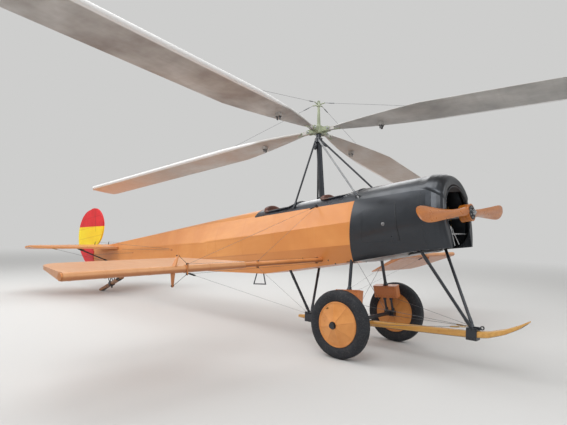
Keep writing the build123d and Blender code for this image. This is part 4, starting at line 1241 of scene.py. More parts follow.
front_plate_profile = (
    (0.0, -0.001), (0.074, -0.001), (0.074, 0.005), (0.070, 0.007), (0.040, 0.007), (0.038, 0.012),
    (0.030, 0.020), (0.0, 0.020),
)
rear_plate_profile = ((0.0, -0.004), (0.080, -0.004), (0.082, -0.001), (0.082, 0.0015), (0.0, 0.0015))
nut_profile = ((0.026, 0.018), (0.026, 0.034), (0.022, 0.038), (0.012, 0.038), (0.012, 0.046), (0.0, 0.047))


def propeller_fittings():
    """Boss plates, bolts and the shaft nut of the propeller."""
    front, rear = (at(propeller_station + way * 0.055, 0, shaft_height) for way in (1, -1))
    for name, place, profile in (
        ("propeller_boss_plate", front, front_plate_profile), ("propeller_rear_plate", rear, rear_plate_profile),
    ):
        Shape().turned(place, along, profile, 48).put(name, dark_steel, "propeller", "engine_steel")
    nut = Shape().turned(front, along, nut_profile, 6)
    nut.turned(front, along, ((0.031, 0.018), (0.031, 0.022), (0.0, 0.022)), 24)
    nut.put("propeller_shaft_nut", bright_steel, "propeller", "engine_steel")
    bolts = [
        (front + round_from(upright, leftward, turn) * 0.056 + along * 0.005, along) for turn in turns(8, 0.5)
    ]
    fit_rows("propeller_boss_bolts", "bolt", bolts, bright_steel, "propeller", 0.0075, 0.008)


hood_bulge()
intake_rim()
side_panels()
underpan()
engine_dressing()
intake_bars()
propeller_fittings()


# Rotor
def rotor_head_fittings():
    """Pin nuts, drum bolts, bands and the king post's cap of the rotor head."""
    nuts, drum_bolts = [], []
    for index in range(4):
        outward = arm_outward(index)
        sideways = head_z.cross(outward)
        for sign, _ in both_sides:
            nuts.append((rotor_centre + outward * flap_pin + sideways * (sign * 0.036), sideways * sign))
        for turn in (-0.42, 0.42):
            out = round_from(outward, sideways, turn + math.pi / 4)
            drum_bolts.append((rotor_centre + out * 0.056 + head_z * 0.046, head_z))
    fit_rows("flap_pin_nuts", "bolt", nuts, bright_steel, "rotor", 0.0125, 0.009)
    fit_rows("rotor_drum_bolts", "bolt", drum_bolts, dark_steel, "rotor", 0.0060, 0.007)
    bands = Shape()
    bands.turned(rotor_centre, head_z, (
        (0.060, 0.046), (0.0735, 0.044), (0.0735, 0.034), (0.0705, 0.032), (0.0705, 0.046), (0.0, 0.0462),
    ), 40)
    bands.turned(rotor_centre, head_z, (
        (0.0705, -0.020), (0.0745, -0.022), (0.0745, -0.036), (0.0705, -0.038),
    ), 40)
    bands.turned(rotor_centre + head_z * 0.046, head_z, (
        (0.050, 0.0), (0.048, 0.012), (0.034, 0.020), (0.027, 0.034), (0.0, 0.034),
    ), 32)
    bands.put("rotor_drum_bands", hub_green, "rotor", "hub_green")
    cap_profile = ((0.027, -0.034), (0.031, -0.030), (0.031, -0.004), (0.027, 0.0), (0.0, 0.002))
    cap = Shape().turned(rotor_centre + head_z * 0.376, head_z, cap_profile, 28)
    cap.put("king_post_cap", hub_gloss, "rotor", "hub_green")


barrel_profile = (
    (0.0028, 0.050), (0.0046, 0.056), (0.0062, 0.070), (0.0062, 0.130), (0.0046, 0.146), (0.0028, 0.154),
)
cuff_profile = (
    (0.0, 0.092), (0.0255, 0.092), (0.0270, 0.096), (0.0270, 0.150), (0.0285, 0.156), (0.0285, 0.170),
    (0.0255, 0.176), (0.0, 0.176),
)
trailing_edge = (
    # distance from the rotor's middle, place of the edge, parts up to the next
    (0.260, -0.060, 4), (0.480, -0.120, 4), (0.800, -0.200, 4), (1.150, -0.280, 4), (1.500, -0.345, 24),
    (4.760, -0.352, 4), (4.880, -0.330, 0),
)
stop_station = 0.750
droop_eye = Vector((1.60, 0.040, 0.034))


def droop_cable(index):
    """Cable with a turnbuckle from the king post's cross to a bracket on one blade."""
    number, body = index + 1, f"blade_{index + 1}"
    place = blade_frame(index)
    out, lead, up = (place.to_3x3() @ axis for axis in (noseward, leftward, skyward))
    tip = rotor_centre + arm_outward(index) * 0.093 + head_z * 0.3715
    anchor = place @ droop_eye
    run = (anchor - tip).normalized()
    cable = Shape().tube([tip + run * 0.010, tip + run * 0.055], 0.0028, 6)
    start, end = tip + run * 0.150, anchor - run * 0.012
    cable.tube([start.lerp(end, share) for share in steps(0, 1, 16)], 0.0018, 6)
    cable.put_between(f"droop_cable_{number}", wire_steel, ("rotor", body), tip, anchor, "hub_green")
    barrel = Shape().turned(tip, run, barrel_profile, 12)
    barrel.put_between(f"droop_turnbuckle_{number}", wire_steel, ("rotor", body), tip, anchor, "hub_green")
    bracket = Shape().plate(round_outline(0.070, 0.046, 0.012), anchor + up * 0.0005, out, lead, 0.005)
    bracket.turned(anchor + up * 0.002, up, ((0.012, -0.002), (0.011, 0.006), (0.006, 0.010), (0.0, 0.011)), 14)
    bracket.put(f"droop_bracket_{number}", dark_steel, body, "blade_grey")


def blade_trim(index):
    """Root cuff, spar end fitting, stitched trailing-edge cord and bracket bolts of one blade."""
    number, body = index + 1, f"blade_{index + 1}"
    place = blade_frame(index)
    out, lead, up = (place.to_3x3() @ axis for axis in (noseward, leftward, skyward))
    origin = place.to_translation()
    cuff = Shape().turned(origin, out, cuff_profile, 28)
    cuff.put(f"blade_root_cuff_{number}", hub_gloss, body, "blade_grey")
    bolts = [
        (origin + out * reach + lead * (sign * 0.027), lead * sign)
        for reach in (0.108, 0.134) for sign, _ in both_sides
    ]
    bolts += [
        (origin + out * (stop_station + ahead) + lead * side - up * 0.065, -up)
        for ahead in (-0.016, 0.016) for side in (-0.024, 0.024)
    ]
    fit_rows(f"blade_root_bolts_{number}", "bolt", bolts, dark_steel, body, 0.0060, 0.007)
    lugs, outline = Shape(), [(-0.020, 0.0), (0.020, 0.0), (0.013, -0.042), (-0.013, -0.042)]
    for sign, _ in both_sides:
        foot = origin + out * stop_station + lead * (sign * 0.018) - up * 0.066
        lugs.plate(outline, foot, out, up, 0.005, 0.0008)
    lugs.put(f"blade_stop_lugs_{number}", engine_steel, body, "blade_grey")
    cord = []
    for (reach, trail, parts), (next_reach, next_trail, _) in zip(trailing_edge, trailing_edge[1:]):
        for step in range(parts):
            share = step / parts
            at_reach = reach + (next_reach - reach) * share - flap_pin
            cord.append(origin + out * at_reach + lead * (trail + (next_trail - trail) * share))
    cord = Shape().tube(cord, 0.0036, 8)
    cord.put(f"blade_trailing_cord_{number}", blade_cloths[index], body, "blade_grey", 60)


rotor_head_fittings()
for blade_index in range(4):
    droop_cable(blade_index)
for blade_index in range(4):
    blade_trim(blade_index)


# Wires
def wire(shape, start, end, radius=0.0024):
    """One straight wire."""
    shape.tube([start, end], radius, 6)


def turnbuckle(shape, start, end, back=0.10, size=0.0085):
    """A barrel and two forks near the first end of a wire."""
    run = (end - start).normalized()
    shape.turned(start, run, (
        (0.0030, back), (size * 0.75, back + 0.006), (size, back + 0.020), (size, back + 0.080),
        (size * 0.75, back + 0.096), (0.0035, back + 0.104),
    ), 10)
    shape.turned(start, run, ((0.0, 0.0), (0.0055, 0.004), (0.0055, back - 0.012), (0.0036, back)), 8)


def lug(shape, place, outward, run, size=0.020):
    """A flat eye standing on a surface, in line with a wire."""
    run = (run - outward * run.dot(outward)).normalized()
    outline = [
        (-size * 0.9, -0.001), (size * 0.9, -0.001), (size * 0.55, size * 1.2), (size * 0.2, size * 1.55),
        (-size * 0.2, size * 1.55), (-size * 0.55, size * 1.2),
    ]
    shape.plate(outline, place, run, outward, 0.0035, 0.0006)


def stretched_wire(name, finish, bodies, start, end, parts):
    """A control cable, straight from its start to its end, made on no body."""
    cable = Shape().tube([start.lerp(end, share) for share in steps(0, 1, parts)], 0.0020, 6)
    cable.put_between(name, finish, bodies, start, end)


wire_reach, cable_reach = 1.45, 2.38


def outrigger_rigging():
    """Landing and flying wires of the outrigger tube, with their fittings."""
    wires, buckles, lugs, clamps, bolts = Shape(), Shape(), Shape(), Shape(), []
    for sign, side in both_sides:
        out = boom_out(sign)
        deck_point, deck_normal = touch(fuselage_skin, spot(-0.603, sign * 1.0, 1.690), (0, -sign, 0))
        deck_eye, keel_eye = deck_point + deck_normal * 0.012, spot(-0.909, sign * 0.030, 0.290)
        for reach in (cable_reach, wire_reach):
            top, low = (boom_root + out * reach + skyward * way * 0.030 for way in (1, -1))
            for start, end in ((deck_eye, top), (low, keel_eye)):
                wire(wires, start, end, 0.0012)
                if reach == cable_reach:
                    turnbuckle(buckles, start, end, 0.05)
        lug(lugs, deck_point, deck_normal, boom_root + out * cable_reach - deck_point)
        for reach, width in ((wire_reach, 0.030), (0.455, 0.045)):
            place, half = boom_root + out * reach, width / 2
            clamps.turned(place, out, (
                (0.0255, -half), (0.0300, -half + 0.002), (0.0300, half - 0.002), (0.0255, half),
            ), 28)
            for way in (1, -1):
                jaw = place + skyward * way * 0.034
                clamps.plate(round_outline(0.020, width, 0.004, 3), jaw, noseward, out, 0.012)
                bolts.append((jaw + noseward * 0.010, noseward))
    wires.put("outrigger_wires", wire_steel, "airframe")
    buckles.put("outrigger_turnbuckles", dark_steel, "airframe")
    lugs.put("outrigger_wire_lugs", dark_steel, "airframe")
    clamps.put("outrigger_clamps", boom_paint, "airframe", "boom_orange")
    fit_rows("outrigger_bolts", "bolt", bolts, dark_steel, "airframe", 0.0055, 0.006)


horn_reach = 2.510
pulley_profile = (
    (0.0, -0.005), (0.011, -0.005), (0.011, -0.0035), (0.008, 0.0), (0.011, 0.0035), (0.011, 0.005), (0.0, 0.005),
)
bracket_profile = ((0.0355, -0.016), (0.0375, -0.014), (0.0375, 0.014), (0.0355, 0.016))
strap_profile = ((0.0350, -0.011), (0.0362, -0.010), (0.0362, 0.010), (0.0350, 0.011))


def aileron_gear(sign, side, droop):
    """Horn plates, hinge straps, control cables and edge cord of one aileron."""
    body, out = f"aileron_{side}", boom_out(sign)
    angle = math.radians(droop)
    rearward = Vector((-math.cos(angle), 0, -math.sin(angle)))
    rearward = (rearward - out * rearward.dot(out)).normalized()
    horn = boom_tip(sign) - out * (boom_reach - horn_reach)
    pulley_place = boom_root + out * cable_reach
    plates, pulleys, cables, eyes = Shape(), Shape(), Shape(), []
    for way, level, end in (
        ("upper", 0.045, horn + Vector((0, -sign * 0.050, 0.128))), ("lower", -0.045, horn - skyward * 0.152),
    ):
        length, run = (end - horn).length, (end - horn).normalized()
        plates.plate([
            (-0.026, 0.030), (0.026, 0.030), (0.0085, length - 0.004), (0.004, length + 0.006),
            (-0.004, length + 0.006), (-0.0085, length - 0.004),
        ], horn, noseward, run, 0.0165, 0.002)
        for face in (out, -out):
            eyes.append((end + face * 0.0085 - run * 0.006, face))
        guide = pulley_place + Vector((0.034, 0, level))
        stretched_wire(f"aileron_horn_cable_{side}_{way}", tube_enamel, ("airframe", body), guide, end, 10)
        wire(cables, guide, boom_root + out * 0.44 + Vector((0.036, 0, level * 0.7)), 0.0011)
        pulleys.turned(guide, noseward, pulley_profile, 24)
    plates.put(f"aileron_horn_{side}", boom_paint, body, "boom_orange")
    fit_rows(f"aileron_horn_bolts_{side}", "bolt", eyes, dark_steel, body, 0.0055, 0.005)
    cables.put(f"aileron_cables_{side}", tube_enamel, "airframe")
    pulleys.put(f"aileron_pulleys_{side}", dark_steel, "airframe")
    bracket = Shape().turned(pulley_place, out, bracket_profile, 28)
    face = pulley_place + noseward * 0.041
    bracket.plate(round_outline(0.015, 0.100, 0.007, 4), face, out, skyward, 0.003, 0.0006)
    bracket.put(f"aileron_pulley_bracket_{side}", boom_paint, "airframe")
    edge = [(reach, 0.740) for reach in steps(1.900, 3.230, 12)]
    edge += [(3.276, 0.727), (3.318, 0.700), (3.352, 0.662), (3.377, 0.618)]
    cord = Shape().tube([boom_root + out * reach + rearward * back for reach, back in edge], 0.0052, 8)
    cord.put(f"aileron_edge_cord_{side}", aileron_cloth, body, "fabric_orange", 60)
    straps = Shape()
    for reach in (1.70, 2.10, 2.75, 3.15, 3.44):
        straps.turned(boom_root + out * reach, out, strap_profile, 30)
    straps.put(f"aileron_nose_straps_{side}", aileron_cloth, body, "fabric_orange")


outrigger_rigging()
for (side_sign, side_name), aileron_droop in zip(both_sides, (24.0, -2.5)):
    aileron_gear(side_sign, side_name, aileron_droop)


# Main gear
rim_profile = (
    (0.2345, -0.002), (0.2345, 0.0035), (0.2375, 0.0060), (0.2415, 0.0060), (0.2470, 0.0035), (0.2498, -0.002),
)
valve_profile = (
    (0.013, 0.004), (0.011, 0.007), (0.0045, 0.008), (0.0045, 0.030), (0.006, 0.031), (0.006, 0.040), (0.0, 0.041),
)
tyre_rings = (
    # side, distance from the axle, radius of the ring
    *((offset, 0.3745 - size * 0.8, size) for offset, size in ((0.0, 0.0042), (0.011, 0.0036), (-0.011, 0.0036))),
    *((offset, 0.3743 - 0.0032 * 0.8, 0.0032) for offset in (0.0205, -0.0205)),
    *((offset * way, reach, size) for offset, reach, size in (
        (0.0655, 0.312, 0.0030), (0.0595, 0.334, 0.0026), (0.0535, 0.268, 0.0036),
    ) for way in (1, -1)),
)


def wheel_trim(sign, side):
    """Seams, rim ring, hub cap and valve of a disc wheel, and the ribs of its tyre."""
    body, out = f"wheel_{side}", leftward * sign
    centre = spot(0, sign * half_track, wheel_radius)

    def ray(turn):
        """Direction away from the axle."""
        return round_from(noseward, skyward, turn)

    seams = Shape()
    for turn in turns(8, 0.3):
        for inner, outer, face in ((0.113, 0.048, out), (-0.074, -0.048, -out)):
            start, end = centre + ray(turn) * 0.043 + out * inner, centre + ray(turn) * 0.234 + out * outer
            across = (end - start).normalized().cross(face).normalized()
            seams.rings([[
                point + across * a + face * b
                for a, b in ((-0.005, -0.001), (0.005, -0.001), (0.0036, 0.0016), (-0.0036, 0.0016))
            ] for point in (start, end)])
    seams.put(f"wheel_disc_seams_{side}", wheel_paint, body, "wheel_orange", 40)
    rim = Shape()
    for face in (out, -out):
        rim.turned(centre + face * 0.048, face, rim_profile, 96)
    rim.put(f"wheel_rim_ring_{side}", wheel_paint, body, "wheel_orange", 40)
    cap_profile = ((0.0, -0.001), (0.0425, -0.001), (0.0425, 0.0012), (0.0, 0.0012))
    cap = Shape().turned(centre + out * 0.129, out, cap_profile, 36)
    cap.put(f"wheel_hub_face_{side}", tube_enamel, body, "tube_black")
    screws = [
        (centre + ray(turn) * 0.226 + out * 0.0505, (out + ray(turn) * 0.38).normalized()) for turn in turns(16)
    ]
    fit_rows(f"wheel_disc_screws_{side}", "rivet", screws, wheel_paint, body, 0.0036, 0.0020)
    tyre = Shape()
    for offset, reach, size in tyre_rings:
        tyre.tube([centre + out * offset + ray(turn) * reach for turn in turns(160)], size, 6, closed=True)
    tyre.put(f"tyre_ribs_{side}", rubber, body, "tyre", 60)
    blocks = [
        (centre + face * 0.0415 + ray(turn) * 0.3655, (ray(turn) + face * 0.75).normalized())
        for turn in turns(120) for face in (out, -out)
    ]
    fit_rows(f"tyre_shoulder_blocks_{side}", "stitch", blocks, rubber, body, 0.0062, 0.0042)
    valve = Shape().turned(centre + ray(2.2) * 0.205 + out * 0.054, out, valve_profile, 14)
    valve.put(f"tyre_valve_{side}", brass, body)


def gear_fittings(sign, side):
    """Boots, bushes, bolts and lugs of one main leg."""
    foot, top = spot(0, sign * 0.478, 0.375), spot(-0.060, sign * 0.322, 1.120)
    lift = (top - foot).normalized()
    middle = foot + (top - foot) * ((0.655 - 0.375) / (top - foot).z)
    forward = (noseward - lift * lift.x).normalized()
    across = lift.cross(forward)

    def on_box(fore, out, up):
        """A place on the spring box, from its middle."""
        return middle + forward * fore + across * out + lift * up

    bushes = Shape()
    for step in (-0.045, 0.045):
        upper, lower = on_box(step, 0, -0.075), foot + Vector((step, 0, 0.033))
        reach = (lower - upper).length
        for start, end, size in ((0.001, 0.042, 0.021), (reach - 0.034, reach - 0.004, 0.0205)):
            profile = ((0.0145, start), (size, start + 0.004), (size, end - 0.004), (0.0145, end))
            bushes.turned(upper, lower - upper, profile, 20)
    bushes.turned(on_box(0, 0, 0.075), lift, (
        (0.0190, 0.0), (0.034, 0.001), (0.034, 0.006), (0.026, 0.016), (0.0215, 0.040), (0.0190, 0.042),
    ), 24)
    bushes.put(f"leg_bushes_{side}", tube_enamel, "airframe", "tube_black")
    piping = Shape()
    for level in (-0.066, 0.066):
        outline = round_outline(0.3315, 0.0975, 0.019)
        piping.tube([on_box(x, y, level) for x, y in outline], 0.0034, 8, closed=True)
    for x in (-0.110, 0.110):
        for y in (-0.0485, 0.0485):
            low = math.copysign(0.066, y)
            piping.tube([on_box(x, y, low), on_box(x, y, -low)], 0.0028, 6)
    piping.put(f"spring_boot_piping_{side}", boot_cloth, "airframe", "fabric_orange", 60)
    eyelets = [
        (on_box(x, way * 0.0482, level), across * way)
        for way in (1, -1) for x in steps(-0.13, 0.13, 8) for level in (-0.052, 0.052)
    ]
    fit_rows(f"spring_boot_eyelets_{side}", "rivet", eyelets, brass, "airframe", 0.0042, 0.0016)
    bolts = [
        (foot + Vector((x, way * 0.031, z)), leftward * way)
        for way in (1, -1) for x in (-0.050, 0.050) for z in (-0.020, 0.020)
    ]
    fit_rows(f"axle_saddle_bolts_{side}", "bolt", bolts, dark_steel, "airframe", 0.0060, 0.007)
    under, _ = touch(skin_tree("cowl", "fuselage"), top - skyward * 0.35, skyward)
    pad = Shape().plate(round_outline(0.110, 0.070, 0.014), under - skyward * 0.002, noseward, leftward, 0.006)
    pad.put(f"leg_top_pad_{side}", tube_enamel, "airframe", "tube_black")


front_joint, rear_joint = spot(1.235, 0, 0.430), spot(-0.909, 0, 0.300)


def gear_bracing():
    """Wires and turnbuckles that brace the axle, the legs and the skid."""
    wires, buckles, axle_half = Shape(), Shape(), 0.440
    for sign, _ in both_sides:
        front = front_joint + Vector((-0.060, sign * 0.030, 0.020))
        back = rear_joint + Vector((0.055, sign * 0.030, 0.010))
        for start, end, radius, slack in (
            (front, spot(0.030, sign * axle_half, 0.352), 0.0024, 0.06),
            (front + skyward * 0.012, spot(0.020, sign * 0.432, 0.590), 0.0020, None),
            (back, spot(-0.030, sign * axle_half, 0.352), 0.0024, 0.05),
            (spot(0.0, sign * axle_half, 0.345), spot(0.0, -sign * 0.345, 1.090), 0.0022, None),
        ):
            wire(wires, start, end, radius)
            if slack:
                turnbuckle(buckles, start, end, slack)
    wires.put("gear_bracing_wires", wire_steel, "airframe")
    buckles.put("gear_turnbuckles", brass, "airframe")


skid_sections = (
    # distance ahead of the axle, height, width, thickness
    (-1.090, 0.243, 0.060, 0.034), (-0.909, 0.256, 0.076, 0.056), (0.0, 0.308, 0.076, 0.064),
    (1.235, 0.380, 0.076, 0.068), (1.400, 0.404, 0.110, 0.062), (1.560, 0.458, 0.142, 0.050),
    (1.690, 0.524, 0.130, 0.036), (1.777, 0.586, 0.070, 0.016),
)


def skid_section(x):
    """Height, width and thickness of the centre skid at a distance ahead of the axle."""
    for here, after in zip(skid_sections, skid_sections[1:]):
        if x <= after[0]:
            share = (x - here[0]) / (after[0] - here[0])
            return [here[k] + (after[k] - here[k]) * share for k in (1, 2, 3)]
    return skid_sections[-1][1:]


def skid_trim():
    """Metal shoe, straps and bolts of the centre skid, and strut end fittings."""
    shoe = []
    for x in steps(-1.060, 1.760, 90):
        height, width, thickness = skid_section(x)
        half, low = width * 0.30, height - thickness / 2
        shoe.append([
            spot(x, half * y, low + z) for y, z in ((-1, 0.0004), (1, 0.0004), (0.92, -0.0026), (-0.92, -0.0026))
        ])
    Shape().rings(shoe).put("skid_shoe", dark_steel, "airframe", "tube_black", 40)
    bands, bolts = Shape(), []
    for x in (-0.40, 0.0):
        _, width, thickness = skid_section(x)
        outline = round_outline(width + 0.003, thickness + 0.003, thickness * 0.3, 4)
        bands.rings([[
            spot(x + shift, y * grow, skid_section(x + shift)[0] + z * grow) for y, z in outline
        ] for shift, grow in ((-0.016, 0.985), (-0.014, 1.0), (0.014, 1.0), (0.016, 0.985))])
    for x in steps(-1.0, 1.66, 15):
        height, _, thickness = skid_section(x)
        bolts.append((spot(x, 0, height + thickness / 2), skyward))
    bands.put("skid_straps", dark_steel, "airframe", "tube_black")
    fit_rows("skid_bolts", "rivet", bolts, brass, "airframe", 0.0085, 0.0028)
    bolts = [
        (joint + Vector((ahead, way * 0.050, up)), leftward * way)
        for joint in (front_joint, rear_joint) for way in (1, -1)
        for ahead in (-0.038, 0.0, 0.038) for up in (-0.088, 0.004)
    ]
    fit_rows("skid_joint_bolts", "bolt", bolts, dark_steel, "airframe", 0.0065, 0.007)
    sockets = Shape()
    for joint, top_ahead, top_height in ((front_joint, 0.769, 1.260), (rear_joint, -1.027, 0.915)):
        for sign, _ in both_sides:
            start = joint + leftward * (sign * 0.018)
            run = spot(top_ahead, sign * 0.325, top_height) - start
            reach = run.length
            for profile in (
                ((0.0172, 0.060), (0.0190, 0.064), (0.0190, 0.112), (0.0172, 0.130)),
                ((0.0172, reach - 0.190), (0.0188, reach - 0.186), (0.0188, reach - 0.130), (0.0172, reach - 0.124)),
            ):
                sockets.turned(start, run, profile, 20)
    sockets.put("brace_end_sockets", tube_enamel, "airframe", "tube_black")


for side_sign, side_name in both_sides:
    wheel_trim(side_sign, side_name)
    gear_fittings(side_sign, side_name)
gear_bracing()
skid_trim()


# Tail
tail_set = math.radians(-10)
plate_ahead, plate_up = round_from(along, upright, tail_set), round_from(upright, -along, tail_set)
hinge_station, plate_height = -6.430, 0.866
rudder_hinge, rudder_horn_height = -6.829, 0.700


def on_plate(ahead, side, lift):
    """A place on the tailplane, ahead of the elevator hinge and up from its mid plane."""
    return at(hinge_station, side, plate_height) + plate_ahead * ahead + plate_up * lift


def exit_patch(patches, place, normal, length, width, corner):
    """A patch on the fuselage where a cable comes out."""
    outline = round_outline(length, width, corner)
    patches.plate(outline, place + normal * 0.0005, along, along.cross(normal), 0.0028, 0.0006)


def tail_controls():
    """Horns and cables of the elevator and the rudder."""
    horns, rudder_horn, patches = Shape(), Shape(), Shape()
    pivot = at(rudder_hinge, 0, rudder_horn_height)
    for sign, side in both_sides:
        foot = at(hinge_station - 0.008, sign * 0.150, plate_height)
        for way, name in ((1, "upper"), (-1, "lower")):
            horns.plate([
                (-0.040, 0.010), (-0.006, 0.010), (0.006, 0.068), (0.003, 0.075), (-0.003, 0.075), (-0.008, 0.070),
            ], foot, along, upright * way, 0.006)
            exit_place, exit_normal = side_touch(fuselage_skin, -3.70, 0.505 + 0.008 * way, sign)
            start, end = exit_place - exit_normal * 0.004, foot + upright * (0.071 * way)
            stretched_wire(f"elevator_cable_{side}_{name}", wire_steel, ("airframe", "elevator"), start, end, 12)
        exit_patch(patches, exit_place, exit_normal, 0.056, 0.034, 0.010)
        rudder_horn.plate([
            (-0.024, 0.012), (0.024, 0.012), (0.008, 0.148), (0.003, 0.154), (-0.003, 0.154), (-0.008, 0.148),
        ], pivot, along, leftward * sign, 0.006)
        exit_place, exit_normal = side_touch(fuselage_skin, -5.05, 0.58, sign)
        start, end = exit_place - exit_normal * 0.004, pivot + leftward * (sign * 0.148)
        stretched_wire(f"rudder_cable_{side}", wire_steel, ("airframe", "rudder"), start, end, 12)
        exit_patch(patches, exit_place, exit_normal, 0.060, 0.022, 0.009)
    horns.put("elevator_horns", dark_steel, "elevator", "tube_black")
    rudder_horn.put("rudder_horn", dark_steel, "rudder", "tube_black")
    patches.put("cable_exit_patches", boot_cloth, "airframe", "fabric_orange")


def tail_bracing():
    """Streamline wires under the tailplane, its bolts, and the strut ends."""
    wires, buckles, sockets, bolts = Shape(), Shape(), Shape(), []
    skin = 0.0182
    for sign, _ in both_sides:
        for reach in (0.640, 1.180):
            over, under = (on_plate(0.284, sign * reach, way * skin) for way in (1, -1))
            keel = at(-6.150, sign * 0.050, 0.500)
            wire(wires, under, keel)
            turnbuckle(buckles, under, keel, 0.03, 0.0070)
            bolts += [(over, plate_up), (under, -plate_up)]
        foot, top = at(-6.100, sign * 0.060, 0.505), at(-6.084, sign * 0.729, 0.788)
        reach = (top - foot).length
        for start, rise, end, fall in ((0.030, 0.004, 0.120, 0.025), (reach - 0.140, 0.020, reach - 0.046, 0.004)):
            profile = ((0.0112, start), (0.0160, start + rise), (0.0160, end - fall), (0.0112, end))
            sockets.turned(foot, top - foot, profile, 16)
        for span, fore in ((0.200, 0.700), (0.600, 0.560), (1.050, 0.420), (1.330, 0.230)):
            bolts += [(on_plate(ahead, sign * span, skin), plate_up) for ahead in (0.060, fore)]
    wires.put("tail_wires", wire_steel, "airframe")
    buckles.put("tail_turnbuckles", brass, "airframe")
    sockets.put("tail_strut_sockets", tube_enamel, "airframe", "tube_black")
    fit_rows("tailplane_bolts", "rivet", bolts, dark_steel, "airframe", 0.0065, 0.0035)


def tail_skid_trim():
    """Iron shoe and shock cord of the tail skid."""
    top, (low, _) = spot(-5.670, 0, 0.344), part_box("tail_skid")
    heel = Vector((low[0] + 0.035, axle_foot.y, low[2] + 0.006))
    run = (top - heel).normalized()
    skid_skin, shoe = skin_tree("tail_skid"), []
    for reach, half in ((0.012, 0.018), (0.060, 0.026), (0.160, 0.028), (0.230, 0.018)):
        place, _ = touch(skid_skin, heel + run * reach - skyward * 0.3, skyward)
        shoe.append([
            place + Vector((0, half * y, z)) for y, z in ((1, 0.0005), (-1, 0.0005), (-1, -0.0022), (1, -0.0022))
        ])
    Shape().rings(shoe).put("tail_skid_shoe", dark_steel, "airframe", "tube_black")
    cord, centre, over = Shape(), top + (heel - top) * 0.10, run.cross(leftward)
    for wrap in range(-3, 4):
        middle = centre - run * (0.016 * wrap)
        cord.tube([
            middle + (leftward * 0.046 + run * 0.003) * math.cos(turn) + over * (0.034 * math.sin(turn))
            for turn in turns(24)
        ], 0.0072, 8, closed=True)
    cord.put("tail_skid_shock_cord", bungee_cord, "airframe")


def deck_edge(station):
    """Height of the deck's edge over the datum."""
    rise = -0.029 / 0.7 if station > -0.7 else -0.0404
    return 0.719 + rise * (station + 0.7)


def longeron(station, fore, middle, aft):
    """Height of a longeron from its heights at stations -1.5, -3.0 and -4.8."""
    if station < -3.0:
        return middle + (aft - middle) * (-3.0 - station) / 1.8
    return fore + (middle - fore) * (-1.5 - station) / 1.5


def fuselage_trim():
    """Lacing, longeron tapes, deck edge screws and drain eyelets of the fuselage."""
    screws, stitches, eyelets, plugs = [], [], [], []
    for sign, side in both_sides:
        for station in steps(-1.60, -0.08, 20):
            screws.append(side_touch(fuselage_skin, station, deck_edge(station) + 0.014, sign))
        tapes = [(f"{name}_longeron_tape_{side}", 0.030, 0.0008, [
            (station, longeron(station, *heights), sign) for station in steps(-4.75, -1.55, 50)
        ]) for name, heights in (("lower", (0.233, 0.290, 0.425)), ("upper", (0.480, 0.530, 0.640)))]
        for station in (-0.5, -1.2, -1.9, -2.7, -3.5, -4.3, -5.1, -5.9):
            aft = max(-station - 1.5, 0)
            tapes.append((f"frame_tape_{side}_{int(-station * 10)}", 0.036, 0.0007, [
                (station, height, sign) for height in steps(0.245 + aft * 0.072, 0.470 + aft * 0.048, 14)
            ]))
        for name, width, proud, places in tapes:
            ribbon(name, fuselage_skin, places, width, proud, fuselage_cloth, "fabric_orange")
        for station in steps(-1.46, -0.76, 3):
            eyelets.append(side_touch(fuselage_skin, station, 0.10, sign))
        for station, height in ((-0.375, 0.040), (-0.285, -0.008)):
            plugs.append(side_touch(fuselage_skin, station, height, sign))
    for station in steps(-6.40, -1.86, 150):
        place, _ = touch(fuselage_skin, at(station, 0.012, -0.6), upright)
        stitches.append((place, along + leftward * 0.5))
    fit_rows("deck_edge_screws", "rivet", screws, dark_steel, "airframe", 0.0044, 0.0020, 0.06)
    fit_rows("keel_lacing", "stitch", stitches, strap_web, "airframe", 0.0018, 0.010)
    fit_rows("drain_eyelets", "rivet", eyelets, brass, "airframe", 0.0095, 0.0018)
    fit_rows("floor_bearer_bolts", "rivet", plugs, tube_enamel, "airframe", 0.0100, 0.0050)


def mast_fittings():
    """Foot plates, sockets and bolts where the mast and its stays meet the deck and collar."""
    plates, sockets, bolts = Shape(), Shape(), []
    deck_tree = skin_tree("top_deck", "cowl", "fuselage")
    mast_foot = -0.761
    foot = spot(mast_foot, 0, 0)
    foot.z = touch(deck_tree, spot(mast_foot + 0.09, 0.0, 2.15), -skyward)[0].z
    plates.plate(round_outline(0.140, 0.096, 0.03), foot + skyward * 0.0035, along, leftward, 0.007)
    for x in (-0.056, 0.056):
        for y in (-0.036, 0.036):
            bolts.append((foot + along * x + leftward * y + upright * 0.007, upright))
    for x, half, top in ((0.060, 0.332, 1.740), (-1.038, 0.262, 1.640)):
        for sign, _ in both_sides:
            low = spot(x, sign * half, top)
            run = (mast_collar - low).normalized()
            deck_place, deck_normal = touch(deck_tree, low + run * 0.4, -run)
            for place, axis, size, profile in (
                (mast_collar, -run, 0.0175, (0.062, 0.066, 0.130, 0.150)),
                (deck_place, run, 0.0185, (0.008, 0.010, 0.075, 0.098)),
            ):
                sockets.turned(place, axis, tuple(zip((0.012, size, size, 0.012), profile)), 16)
            plate, middle = round_outline(0.074, 0.040, 0.012), deck_place + deck_normal * 0.0018
            plates.plate(plate, middle, along, deck_normal.cross(along), 0.004, 0.0008)
            for ahead in (-0.026, 0.026):
                bolts.append((deck_place + deck_normal * 0.004 + along * ahead, deck_normal))
    plates.put("mast_and_stay_plates", tube_enamel, "airframe", "tube_black")
    sockets.put("stay_end_sockets", tube_enamel, "airframe", "tube_black")
    fit_rows("mast_foot_bolts", "bolt", bolts, dark_steel, "airframe", 0.0050, 0.006)
    outwards = [round_from(head_x, head_y, turn) for turn in turns(8, 0.5)]
    collar = [(mast_collar + out * 0.0465, out) for out in outwards]
    fit_rows("mast_collar_bolts", "bolt", collar, bright_steel, "airframe", 0.0060, 0.006)


